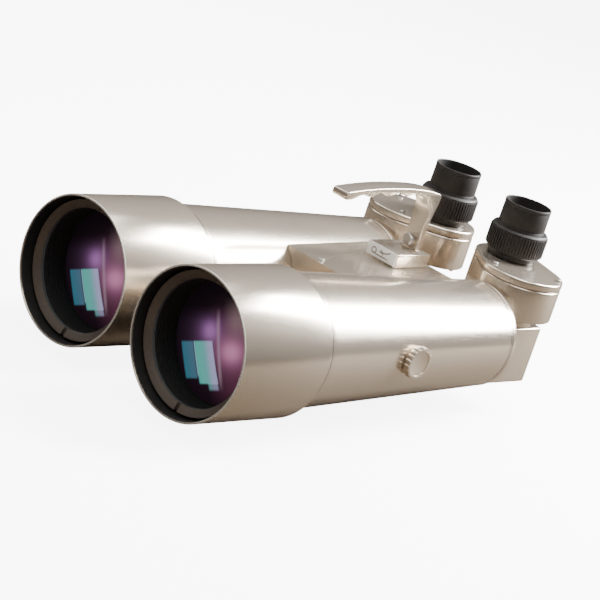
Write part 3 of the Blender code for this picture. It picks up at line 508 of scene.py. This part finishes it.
# millimetres, but for the steps round
tube = {"dewWall": 1.7, "dewLip": 3.0, "lipReach": 4.15, "dewEdge": 0.5, "wall": 2.0, "step": 0.35,
        "taper": 7.95, "seamBack": 10.0, "seamSpan": 3.0, "seamWidth": 0.5, "seamDepth": 0.6,
        "endSeam": 2.2, "endBore": 19.0, "bossRadius": 9.0, "steps": 160}
forward = Vector((0, -1, 0))
upward = Vector((0, 0, 1))


def tubeCentre(label):
    # on the tube's axis, in the plane of its front rim
    low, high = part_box("dew_shield_" + label)
    return Vector(((low[0] + high[0]) / 2, low[1], (low[2] + high[2]) / 2))


def backOf(node):
    # depths of a node's front and back behind the rim
    low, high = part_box(node)
    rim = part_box("dew_shield_left")[0][1]
    return (low[1] - rim) / mm, (high[1] - rim) / mm


def profile(points):
    # (radius, depth) in millimetres become radius and distance along -Y
    return [(radius * mm, -depth * mm) for radius, depth in points]


def dewShields():
    edge = tube["dewEdge"]
    for label in sides:
        node = "dew_shield_" + label
        radius = sizeOf(node)[0] / 2 / mm
        length = backOf(node)[1]
        inner = radius - tube["dewWall"]
        lip = radius - tube["lipReach"]
        lipFront = length - tube["dewLip"]
        points = [(radius - edge, 0), (radius - edge * 0.3, edge * 0.3), (radius, edge),
                  (radius, length - edge), (radius - edge, length), (lip, length), (lip, lipFront),
                  (inner, lipFront), (inner, 1.0), (inner + 0.4, 0.15)]
        obj = turned("dewShield_" + label, profile(points), tubeCentre(label), forward,
                     [paint, flock, rimLook], "dew_shield_slider_" + label, node,
                     tube["steps"])
        # the inside is black, and the rim is bare
        axis = tubeCentre(label)
        for face in obj.data.polygons:
            middle = face.center - axis
            outward = Vector((middle.x, 0, middle.z))
            inside = outward.length < (inner + 0.15) * mm
            if inside and face.normal.dot(outward) < -0.2 * outward.length:
                face.material_index = 1
            if not inside and middle.y < 0.45 * mm and face.normal.y < -0.3:
                face.material_index = 2


def barrels():
    for label in sides:
        node = "barrel_" + label
        front, rear = backOf(node)
        radius = sizeOf(node)[2] / 2 / mm
        width, wall = tube["seamWidth"], tube["wall"]
        seamEnd = backOf("dew_shield_" + label)[1] + tube["seamBack"]
        seamStart = seamEnd - tube["seamSpan"]
        rearRadius = radius - tube["taper"]
        taperStart = radius - tube["step"]
        # each seam is (depth, radius before it, radius after it)
        seams = [(seamStart, radius, radius), (seamEnd - width, radius, taperStart),
                 (rear - tube["endSeam"], rearRadius + 0.1, rearRadius + 0.08)]
        points = [(radius, front)]
        for start, before, after in seams:
            floor = before - tube["seamDepth"]
            end = start + width
            points += [(before, start), (floor, start + 0.02), (floor, end - 0.02), (after, end)]
        points += [(rearRadius, rear - 0.3), (rearRadius - 0.3, rear), (rearRadius - wall, rear),
                   (taperStart - wall, seamEnd), (radius - wall, seamStart), (radius - wall, front)]
        shell = turned("barrel_" + label + "_tube", profile(points), tubeCentre(label), forward,
                       [paint, flock], "chassis", node, tube["steps"])
        axis = tubeCentre(label)
        for face in shell.data.polygons:
            depth = (face.center.y - axis.y) / mm
            outer = hypot(face.center.x - axis.x, face.center.z - axis.z) > (rearRadius - 1.2) * mm
            if outer and any(0 < depth - seam[0] < width for seam in seams):
                face.material_index = 1
        knobBoss(label)


def knobBoss(label):
    # a short round pad, from inside the barrel to just short of the knob
    side = sides[label]
    knobPlace = centreOf("side_knob_" + label)
    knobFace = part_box("side_knob_" + label)[0 if side > 0 else 1][0] * side
    top = knobFace - abs(knobPlace.x) - 0.3 * mm
    boss = cylinder(tube["bossRadius"] * mm, -14 * mm, top, knobPlace, (side, 0, 0), 96)
    settle(boss, "knobBoss_" + label, paint)
    soften(boss, 0.4 * mm, 2)
    smooth(boss)
    ownIt(boss, "chassis", None)


def endRings():
    for label in sides:
        node = "end_ring_" + label
        front, rear = backOf(node)
        radius = sizeOf(node)[0] / 2 / mm
        bore = tube["endBore"]
        points = [(radius - 0.15, front), (radius, front + 0.2), (radius, rear - 0.8),
                  (radius - 0.25, rear - 0.25), (radius - 0.8, rear), (bore, rear), (bore, front)]
        turned("endRing_" + label, profile(points), tubeCentre(label), forward, [paint], "chassis", node,
               tube["steps"])


dewShields()
barrels()
endRings()
print("tubes made")


# Objectives

objective = {"retainerBore": 40.9, "chamfer": 2.7, "notchWide": 3.0, "notchDeep": 5.2, "notchReach": 44.0,
             "ribs": 9, "ribDepth": 0.7, "baffleBore": 40.3, "bulge": 3.4, "lensEdge": 4.5}  # millimetres


def retainer(label, centre):
    look = turnedGrey("retainerGrey_" + label, (0.13, 0.108, 0.094), (0.30, 0.255, 0.225), centre, 0.40)
    node = "retaining_ring_" + label
    start, end = backOf(node)
    outer = sizeOf(node)[0] / 2 / mm
    bore = objective["retainerBore"]
    inside = start + objective["chamfer"]
    points = [(outer - 0.3, start), (outer, start + 0.3), (outer, end), (bore, end), (bore, inside),
              (bore + 0.25, inside - 0.25)]
    ring = turned("retainer_" + label, profile(points), centre, forward, [look], "chassis", node,
                  144)
    # a spanner notch at the top and one at the bottom
    for up in (1, -1):
        deselect()
        spot = centre + Vector((0, start * mm, up * objective["notchReach"] * mm))
        size = (objective["notchWide"] * mm, objective["notchDeep"] * mm, 9 * mm)
        bpy.ops.mesh.primitive_cube_add(size=1, location=spot, scale=size)
        cut(ring, bpy.context.object)
    smooth(ring)


def baffle(label, centre):
    node = "front_baffle_" + label
    start, end = backOf(node)
    outer = sizeOf(node)[0] / 2 / mm
    crest = objective["baffleBore"]
    valley = crest + objective["ribDepth"]
    pitch = (end - start) / objective["ribs"]
    points = [(outer, start), (outer, end)]
    for i in reversed(range(objective["ribs"])):
        rib = start + i * pitch
        points += [(valley, rib + pitch * 0.92), (crest, rib + pitch * 0.5), (valley, rib + pitch * 0.08)]
    turned("baffle_" + label, profile(points), centre, forward, [flock], "chassis", node,
           128)


def lens(label, centre):
    node = "front_lens_" + label
    start = backOf(node)[0]
    radius = sizeOf(node)[0] / 2 / mm
    bulge = objective["bulge"]
    points = [(radius, start + bulge + objective["lensEdge"]), (radius, start + bulge)]
    for i in range(1, 14):
        share = 1 - i / 14
        points.append((radius * share, start + bulge * share ** 2))
    points.append((radius * 0.01, start))
    turned("frontLens_" + label, profile(points), centre, forward, [lensPaintedReflections(centre)], "chassis", node,
           128, closed=False)


def objectives():
    for label in sides:
        centre = tubeCentre(label)
        retainer(label, centre)
        baffle(label, centre)
        lens(label, centre)
        give("objective_cell_" + label, flock)
        give("rear_lens_" + label, prismLook)
        give("guide_ring_" + label, felt)


objectives()
print("objectives made")


# Prism boxes and turrets

# millimetres
turret = {"pivotRadius": 30.2, "eyeRadius": 26.0, "lidRound": 1.6, "bodyRound": 1.3, "lidHole": 15.0,
          "boxRound": 2.0, "seatRadius": 19.0, "seatHeight": 4.0, "coverMargin": 4.5, "washerBore": 12.0}


def pivotOf(label):
    return centreOf("swivel_collar_" + label)


def eyeOf(label):
    return centreOf("eyepiece_base_" + label)


def stadium(name, label, low, high, rounding, body, node, hole=0.0):
    # two discs of unlike radius, wrapped in their convex hull
    pivot, eye = pivotOf(label), eyeOf(label)
    middle = (low + high) / 2
    deselect()
    bpy.ops.mesh.primitive_cylinder_add(vertices=144, radius=turret["pivotRadius"] * mm, depth=high - low,
                                        location=(pivot.x, pivot.y, middle))
    obj = bpy.context.object
    bpy.ops.object.mode_set(mode="EDIT")
    bpy.ops.mesh.primitive_cylinder_add(vertices=144, radius=turret["eyeRadius"] * mm, depth=high - low,
                                        location=(eye.x, eye.y, middle))
    bpy.ops.mesh.select_all(action="SELECT")
    bpy.ops.mesh.convex_hull()
    bpy.ops.mesh.dissolve_limited(angle_limit=radians(0.4))
    bpy.ops.object.mode_set(mode="OBJECT")
    settle(obj, name, paint)
    soften(obj, rounding * mm, 4, 50)
    if hole:
        cut(obj, cylinder(hole * mm, low - 0.01 - eye.z, high + 0.01 - eye.z, eye, upward, 128))
    smooth(obj, 40)
    ownIt(obj, body, node)


def prismBoxes():
    for label in sides:
        node = "prism_box_" + label
        low, high = (Vector(v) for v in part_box(node))
        top = high.z - turret["seatHeight"] * mm
        size = Vector((high.x - low.x, high.y - low.y, top - low.z))
        middle = (low + Vector((high.x, high.y, top))) / 2
        boxPiece("prismHousing_" + label, middle, size, turret["boxRound"] * mm, 4, node)
        pivot = pivotOf(label)
        seat = cylinder(turret["seatRadius"] * mm, top - 2 * mm - pivot.z, high.z - pivot.z, pivot,
                        upward, 96)
        settle(seat, "prismSeat_" + label, paint)
        soften(seat, 0.7 * mm, 3)
        smooth(seat)
        ownIt(seat, "chassis", None)
        # a thin cover plate on the back face
        margin = 2 * turret["coverMargin"] * mm
        back = Vector((middle.x, high.y + 0.2 * mm, middle.z))
        plate = Vector((size.x - margin, 0.8 * mm, size.z - margin))
        boxPiece("boxCover_" + label, back, plate, 0.3 * mm, 2)
        swivelWasher(label, pivot)


def boxPiece(name, middle, size, rounding, segments, node=None):
    deselect()
    bpy.ops.mesh.primitive_cube_add(size=1, location=middle, scale=size)
    box = bpy.context.object
    settle(box, name, paint)
    soften(box, rounding, segments)
    smooth(box)
    ownIt(box, "chassis", node)


def swivelWasher(label, pivot):
    node = "swivel_collar_" + label
    size = sizeOf(node)
    radius, half, bore = size.y / 2, size.z / 2, turret["washerBore"] * mm
    points = [(radius - 0.3 * mm, half), (radius, half - 0.3 * mm), (radius, -half), (bore, -half),
              (bore, half)]
    turned("swivelWasher_" + label, points, pivot, upward, [anodised], "chassis", node,
           96)


def turrets():
    for label in sides:
        body = "turret_" + label
        low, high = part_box("turret_body_" + label)
        stadium("turretShell_" + label, label, low[2], high[2], turret["bodyRound"], body,
                "turret_body_" + label)
        low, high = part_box("turret_lid_" + label)
        stadium("turretLid_" + label, label, low[2], high[2], turret["lidRound"], body, "turret_lid_" + label,
                turret["lidHole"])
        give("rhomboid_prism_" + label, prismLook)
        give("erecting_prism_" + label, prismLook)


prismBoxes()
turrets()
print("turrets made")


# Eyepieces

# millimetres, but for the ridges
eyepiece = {"tube": 14.7, "tubeBore": 13.2, "collar": 18.0, "collarHeight": 4.6, "gap": 0.3,
            "ridges": 60, "ridgeSink": 0.75, "ridgeShare": 0.56, "ringBore": 15.2, "pocket": 17.9,
            "pocketDeep": 4.0, "cupWall": 2.1, "lipWall": 1.3, "eyeBulge": 1.2}


def collar(label, base):
    node = "eyepiece_base_" + label
    low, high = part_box(node)
    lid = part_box("turret_lid_" + label)[1][2]
    bore, outer, wide = (eyepiece[key] * mm for key in ("tubeBore", "tube", "collar"))
    top = lid + eyepiece["collarHeight"] * mm
    foot = lid + eyepiece["gap"] * mm
    points = [(bore, high[2]), (outer - 0.3 * mm, high[2]), (outer, high[2] - 0.3 * mm), (outer, top),
              (wide - 0.5 * mm, top), (wide, top - 0.5 * mm), (wide, lid + 1.4 * mm),
              (wide - 0.7 * mm, lid + 1.0 * mm), (wide - 0.7 * mm, foot), (outer, foot),
              (outer, low[2]), (bore, low[2])]
    turned("eyepieceCollar_" + label, points, base, upward, [anodised], "turret_" + label, node,
           96)


def focusGrip(label, base):
    # a smooth turned blank, with the ridges standing on it
    node = "focus_ring_" + label
    low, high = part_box(node)
    bottom, top = low[2], high[2]
    radius = (high[0] - low[0]) / 2
    core = radius - eyepiece["ridgeSink"] * mm
    bore, pocket = eyepiece["ringBore"] * mm, eyepiece["pocket"] * mm
    floor = top - eyepiece["pocketDeep"] * mm
    points = [(bore, bottom), (core - 0.8 * mm, bottom), (core, bottom + 0.8 * mm), (core, top - 1.2 * mm),
              (core - 0.9 * mm, top), (pocket, top), (pocket, floor), (bore, floor)]
    turned("focusGrip_" + label, points, base, upward, [rubber], "focuser_" + label, node,
           120)
    ridges(label, base, core, radius, bottom + 1.6 * mm, top - 2.2 * mm)


def eyeCup(label, base):
    # a rolled lip at the top, and a thin line moulded round it just above the focus ring
    node = "eyecup_" + label
    low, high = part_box(node)
    bottom, top = low[2], high[2]
    radius = (high[0] - low[0]) / 2
    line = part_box("focus_ring_" + label)[1][2] + 1.9 * mm
    wall, lip = radius - eyepiece["cupWall"] * mm, radius - eyepiece["lipWall"] * mm
    points = [(lip, top - 0.5 * mm), (radius - 0.9 * mm, top), (radius - 0.4 * mm, top - 0.05 * mm),
              (radius - 0.1 * mm, top - 0.5 * mm), (radius - 0.1 * mm, top - 2.2 * mm),
              (radius - 0.35 * mm, top - 2.6 * mm), (radius - 0.2 * mm, top - 3.2 * mm),
              (radius, line + 0.4 * mm), (radius - 0.25 * mm, line), (radius, line - 0.4 * mm),
              (radius, bottom), (wall, bottom), (wall, top - 9.0 * mm), (lip, top - 8.0 * mm)]
    turned("eyeCup_" + label, points, base, upward, [rubber], "cup_" + label, node,
           112)


def eyeLens(label, base):
    node = "eye_lens_" + label
    low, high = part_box(node)
    radius = (high[0] - low[0]) / 2
    bulge = eyepiece["eyeBulge"] * mm
    points = [(radius, low[2]), (radius, high[2] - bulge)]
    for i in range(1, 9):
        share = 1 - i / 9
        points.append((max(radius * share, 0.02 * mm), high[2] - bulge * share ** 2))
    turned("eyeLens_" + label, points, base, upward, [eyeLensLook], "ocular_" + label, node,
           72, closed=False)


def eyepieces():
    for label in sides:
        eye = eyeOf(label)
        base = Vector((eye.x, eye.y, 0))
        collar(label, base)
        focusGrip(label, base)
        eyeCup(label, base)
        give("eyepiece_sleeve_" + label, anodised)
        eyeLens(label, base)


def ridges(label, base, core, radius, low, high):
    # one ridge is made, then copied round the ring and joined
    deselect()
    count = eyepiece["ridges"]
    width = 2 * pi * core / count * eyepiece["ridgeShare"]
    spot = (base.x + (core + radius) / 2 - 0.2 * mm, base.y, (low + high) / 2)
    size = (radius - core + 0.4 * mm, width, high - low)
    bpy.ops.mesh.primitive_cube_add(size=1, location=spot, scale=size)
    first = bpy.context.object
    bpy.ops.object.transform_apply(location=True, rotation=True, scale=True)
    soften(first, 0.28 * mm, 2)
    made = [first]
    for i in range(1, count):
        other = first.copy()
        other.data = first.data.copy()
        bpy.context.scene.collection.objects.link(other)
        turn = Matrix.Rotation(2 * pi * i / count, 4, "Z")
        other.data.transform(Matrix.Translation(base) @ turn @ Matrix.Translation(-base))
        made.append(other)
    join(made)
    settle(first, "focusRidges_" + label, rubber)
    smooth(first)
    ownIt(first, "focuser_" + label, None)


eyepieces()
print("eyepieces made")


# Bridge, block, handle and foot

handle = {"edge": 0.7, "post": 9.0, "crownBack": 37.2, "drop": 4.2, "thick": 6.0, "fillet": 14.0,
          "scallops": 4, "pitch": 19.5, "bite": 2.4, "firstBite": 7.0}  # millimetres, but for the scallops


def bridgeAndFoot():
    softCopy("bridge_casting", "bridgeCasting", 0.6 * mm, paint, "chassis", 40)
    softCopy("mounting_foot", "mountingFoot", 0.8 * mm, paint, "chassis", 50)
    softCopy("handle_block", "handleBlock", 0.6 * mm, paint, "chassis", 40)
    plate = plateWhite(centreOf("name_plate"))
    softCopy("name_plate", "blankPlate", 0.2 * mm, plate, "chassis", 40, 2)


def fingerShape(low, high):
    # the grip's outline in depth and height: crowned above, scalloped below, with a blunt nose
    # and a post behind
    tip, back, top = low.y, high.y, high.z
    post = back - handle["post"] * mm
    crown = post - handle["crownBack"] * mm
    drop, fillet = handle["drop"] * mm, handle["fillet"] * mm

    def crownAt(y):
        if y < crown:
            return top - drop * ((y - crown) / (crown - tip)) ** 2
        return top - drop * ((y - crown) / (back - crown)) ** 3

    def underAt(y):
        phase = (y - tip - handle["firstBite"] * mm) / (handle["pitch"] * mm)
        rise = handle["bite"] * mm * sin(pi * phase) ** 2 if 0 < phase < handle["scallops"] else 0
        return crownAt(y) - handle["thick"] * mm + rise

    points = []
    for i in range(49):
        y = tip + 1.2 * mm + (back - tip - 2.6 * mm) * i / 48
        points.append((y, crownAt(y)))
    # down the back of the post, as steps in from the rear corner
    rear = crownAt(back)
    backSteps = ((0.5, 0.4), (0, 2.2), (0.4, 6), (1.2, 10), (2.4, 15), (3.2, 19), (3.8, 24), (4.0, 30))
    for inward, down in backSteps:
        points.append((back - inward * mm, rear - down * mm))
    points += [(post + 5.0 * mm, low.z), (post, low.z)]
    # up its front, round the fillet and along the scallops
    corner = (post - fillet, underAt(post - fillet) - fillet)
    for i in range(13):
        angle = pi / 2 * i / 12
        points.append((corner[0] + fillet * cos(angle), corner[1] + fillet * sin(angle)))
    y = post - 15.2 * mm
    while y > tip + 4 * mm:
        points.append((y, underAt(y)))
        y -= 1.95 * mm
    points += [(tip + 2.6 * mm, underAt(tip + 2.6 * mm) + 0.1 * mm),
               (tip + 0.9 * mm, underAt(tip) + 0.9 * mm),
               (tip + 0.1 * mm, underAt(tip) + 2.4 * mm), (tip + 0.3 * mm, crownAt(tip) - 0.9 * mm)]
    return points


def carryHandle():
    low, high = (Vector(v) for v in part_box("carry_handle"))
    width = high.x - low.x
    edge = handle["edge"] * mm
    curve = bpy.data.curves.new("carryHandleShape", "CURVE")
    curve.dimensions = "2D"
    curve.fill_mode = "BOTH"
    curve.extrude = width / 2 - edge
    curve.bevel_depth = edge
    curve.bevel_resolution = 3
    curve.offset = -edge
    outline = fingerShape(low, high)
    spline = curve.splines.new("POLY")
    spline.points.add(len(outline) - 1)
    for point, (y, z) in zip(spline.points, outline):
        point.co = (y, z, 0, 1)
    spline.use_cyclic_u = True
    obj = bpy.data.objects.new("carryHandleShape", curve)
    bpy.context.scene.collection.objects.link(obj)
    obj.rotation_euler = (pi / 2, 0, pi / 2)
    deselect()
    obj.select_set(True)
    bpy.context.view_layer.objects.active = obj
    bpy.ops.object.convert(target="MESH")
    obj = bpy.context.object
    bpy.ops.object.mode_set(mode="EDIT")
    bpy.ops.mesh.select_all(action="SELECT")
    bpy.ops.mesh.remove_doubles(threshold=0.00001)
    bpy.ops.mesh.normals_make_consistent(inside=False)
    bpy.ops.object.mode_set(mode="OBJECT")
    settle(obj, "carryGrip", paint)
    smooth(obj, 50)
    ownIt(obj, "chassis", "carry_handle")


bridgeAndFoot()
carryHandle()
print("bridge and handle made")


# Knobs and screws

knob = {"scallops": 20, "cutter": 1.3, "cutterOut": 0.55, "rim": 2.6, "dish": 0.35, "edge": 0.28}


def sideKnobs():
    for label, side in sides.items():
        node = "side_knob_" + label
        size, centre = sizeOf(node), centreOf(node)
        radius, half = size.z / 2, size.x / 2
        disc = cylinder(radius, -half, half, centre, (side, 0, 0), 160)
        # scallops are cut round the rim with a ring of rods joined together
        rods = []
        reach = radius + knob["cutterOut"] * mm
        for i in range(knob["scallops"]):
            angle = 2 * pi * i / knob["scallops"]
            spot = centre + Vector((0, reach * cos(angle), reach * sin(angle)))
            rods.append(cylinder(knob["cutter"] * mm, -2 * half, 2 * half, spot, (1, 0, 0), 20))
        join(rods)
        cut(disc, rods[0])
        # shallow dished face
        dish = radius - knob["rim"] * mm
        cut(disc, cylinder(dish, half - knob["dish"] * mm, half + 1 * mm, centre, (side, 0, 0), 96))
        settle(disc, "trunnionKnob_" + label, paint)
        soften(disc, knob["edge"] * mm, 2, 40)
        smooth(disc)
        ownIt(disc, "knob_" + label, node)


screw = {"radius": 2.0, "height": 1.2, "shank": 1.1, "slot": 0.42}  # millimetres


def screwHead(name, node, axis, body):
    # a domed pan head on a shank, with a cross cut in the head
    axis = Vector(axis)
    radius, height, shank = screw["radius"] * mm, screw["height"] * mm, screw["shank"] * mm
    centre = centreOf(node)
    top = abs(sizeOf(node).dot(axis)) / 2
    shoulder = top - height
    points = [(radius * 0.55, top), (radius * 0.8, top - height * 0.12), (radius * 0.96, top - height * 0.42),
              (radius, top - height * 0.7), (radius, shoulder), (shank, shoulder), (shank, -top)]
    obj = turned(name, points, centre, axis, [steel], body, node, 48, closed=False)
    tilt = axis.to_track_quat("Z", "Y")
    for turn in (0, pi / 2):
        deselect()
        bpy.ops.mesh.primitive_cube_add(size=1, location=centre + axis * top, rotation=tilt.to_euler())
        cutter = bpy.context.object
        cutter.scale = (radius * 1.15, screw["slot"] * mm, height * 0.9)
        cutter.rotation_euler = (tilt.to_matrix() @ Matrix.Rotation(turn + 0.5, 3, "Z")).to_euler()
        cut(obj, cutter)
    smooth(obj)


def fasteners():
    for label, side in sides.items():
        screwHead("lidScrewOuter_" + label, "lid_screw_outer_" + label, (0, 0, 1), "turret_" + label)
        screwHead("lidScrewFront_" + label, "lid_screw_front_" + label, (0, 0, 1), "turret_" + label)
        screwHead("stopScrew_" + label, "stop_screw_" + label, (0, 0, -1), "turret_" + label)
        screwHead("boxScrew_" + label, "box_screw_" + label, (side, 0, 0), "chassis")
    screwHead("bridgeScrew", "bridge_screw", (0, 0, 1), "chassis")
    for end in ("front", "rear"):
        give("foot_screw_" + end, steel)
    give("handle_lock_nut", steel)
    thumbScrew()


def thumbScrew():
    node = "handle_thumb_screw"
    size = sizeOf(node)
    radius, front, shank = size.x / 2, size.y / 2, 1.8 * mm
    back = front - 5.5 * mm
    points = [(radius * 0.7, front), (radius - 0.5 * mm, front - 0.15 * mm),
              (radius - 0.1 * mm, front - 0.7 * mm), (radius - 0.1 * mm, back + 0.5 * mm),
              (radius - 0.6 * mm, back), (shank, back), (shank, -front)]
    turned("thumbScrewHead", points, centreOf(node), forward, [steel], "thumb_screw", node, 64,
           closed=False)


sideKnobs()
fasteners()
print("knobs and screws made")


# Stage, light and camera

stage = {"sky": 0.44, "paper": 6.5, "azimuth": 38.59, "elevation": 16.46, "roll": 18.21, "lens": 150.96,
         "place": (1.0287, -1.3060, 0.5471)}


def addArea(name, place, aim, size, power, tone=(1, 1, 1)):
    light = bpy.data.lights.new(name, "AREA")
    light.shape = "RECTANGLE"
    light.size, light.size_y = size
    light.energy = power
    light.color = tone
    obj = bpy.data.objects.new(name, light)
    bpy.context.scene.collection.objects.link(obj)
    obj.location = place
    obj.rotation_euler = (Vector(aim) - Vector(place)).to_track_quat("-Z", "Y").to_euler()


def setStage():
    deselect()
    bpy.ops.mesh.primitive_plane_add(size=30, location=(0, 0, -0.0002))
    floor = bpy.context.object
    floor.name = "floor"
    look = Graph("paleFloor")
    grain = look.noise(3.0, 3.0)
    look.feed(color=look.mix(grain, shade(0.86, 0.86, 0.86), shade(0.92, 0.92, 0.92)), roughness=0.9)
    # seen straight on it is white paper, while the paint mirrors a warmer, dimmer table
    seen = look.node("ShaderNodeLightPath", {}, {}, "Is Camera Ray")
    look.feed(glow=look.mix(seen, shade(0, 0, 0), shade(1, 1, 1)), glowStrength=stage["paper"],
              color=look.mix(seen, shade(0.085, 0.066, 0.047), shade(0.9, 0.9, 0.9)))
    floor.data.materials.append(look.made)
    world = bpy.data.worlds.new("studio")
    bpy.context.scene.world = world
    world.use_nodes = True
    tree = world.node_tree
    back = tree.nodes["Background"]
    paper = tree.nodes.new("ShaderNodeBackground")
    paper.inputs["Color"].default_value = (1, 1, 1, 1)
    paper.inputs["Strength"].default_value = stage["paper"] + 0.4
    # darker towards the horizon, so the tubes shade off below their highlights
    spread = tree.nodes.new("ShaderNodeTexCoord")
    height = tree.nodes.new("ShaderNodeSeparateXYZ")
    ramp = tree.nodes.new("ShaderNodeValToRGB")
    ramp.color_ramp.elements[0].position = 0.02
    ramp.color_ramp.elements[0].color = (0.30, 0.25, 0.21, 1)
    ramp.color_ramp.elements[1].position = 0.75
    ramp.color_ramp.elements[1].color = (1.0, 0.96, 0.90, 1)
    tree.links.new(spread.outputs["Generated"], height.inputs[0])
    tree.links.new(height.outputs["Z"], ramp.inputs["Fac"])
    tree.links.new(ramp.outputs["Color"], back.inputs["Color"])
    back.inputs["Strength"].default_value = stage["sky"]
    path = tree.nodes.new("ShaderNodeLightPath")
    pick = tree.nodes.new("ShaderNodeMixShader")
    tree.links.new(path.outputs["Is Camera Ray"], pick.inputs[0])
    tree.links.new(back.outputs[0], pick.inputs[1])
    tree.links.new(paper.outputs[0], pick.inputs[2])
    tree.links.new(pick.outputs[0], tree.nodes["World Output"].inputs["Surface"])
    addArea("overhead", (0.2, -0.1, 1.4), (0, 0, 0.05), (0.8, 1.6), 16)
    # stands behind, where the tubes' upper flanks mirror it into the wide white band
    addArea("band", (0.46, 1.15, 0.98), (0.05, 0, 0.08), (0.60, 1.3), 125)
    addArea("farSide", (-1.0, -0.2, 0.9), (0, 0, 0.05), (0.4, 1.2), 5)
    camera = bpy.data.cameras.new("camera")
    camera.lens = stage["lens"]
    obj = bpy.data.objects.new("camera", camera)
    bpy.context.scene.collection.objects.link(obj)
    obj.location = stage["place"]
    azimuth, elevation, roll = (radians(stage[key]) for key in ("azimuth", "elevation", "roll"))
    turn = Matrix.Rotation(azimuth, 3, "Z") @ Matrix.Rotation(pi / 2 - elevation, 3, "X")
    obj.rotation_euler = (turn @ Matrix.Rotation(roll, 3, "Z")).to_euler()
    camera.clip_end = 100
    bpy.context.scene.camera = obj


setStage()
print("stage set")
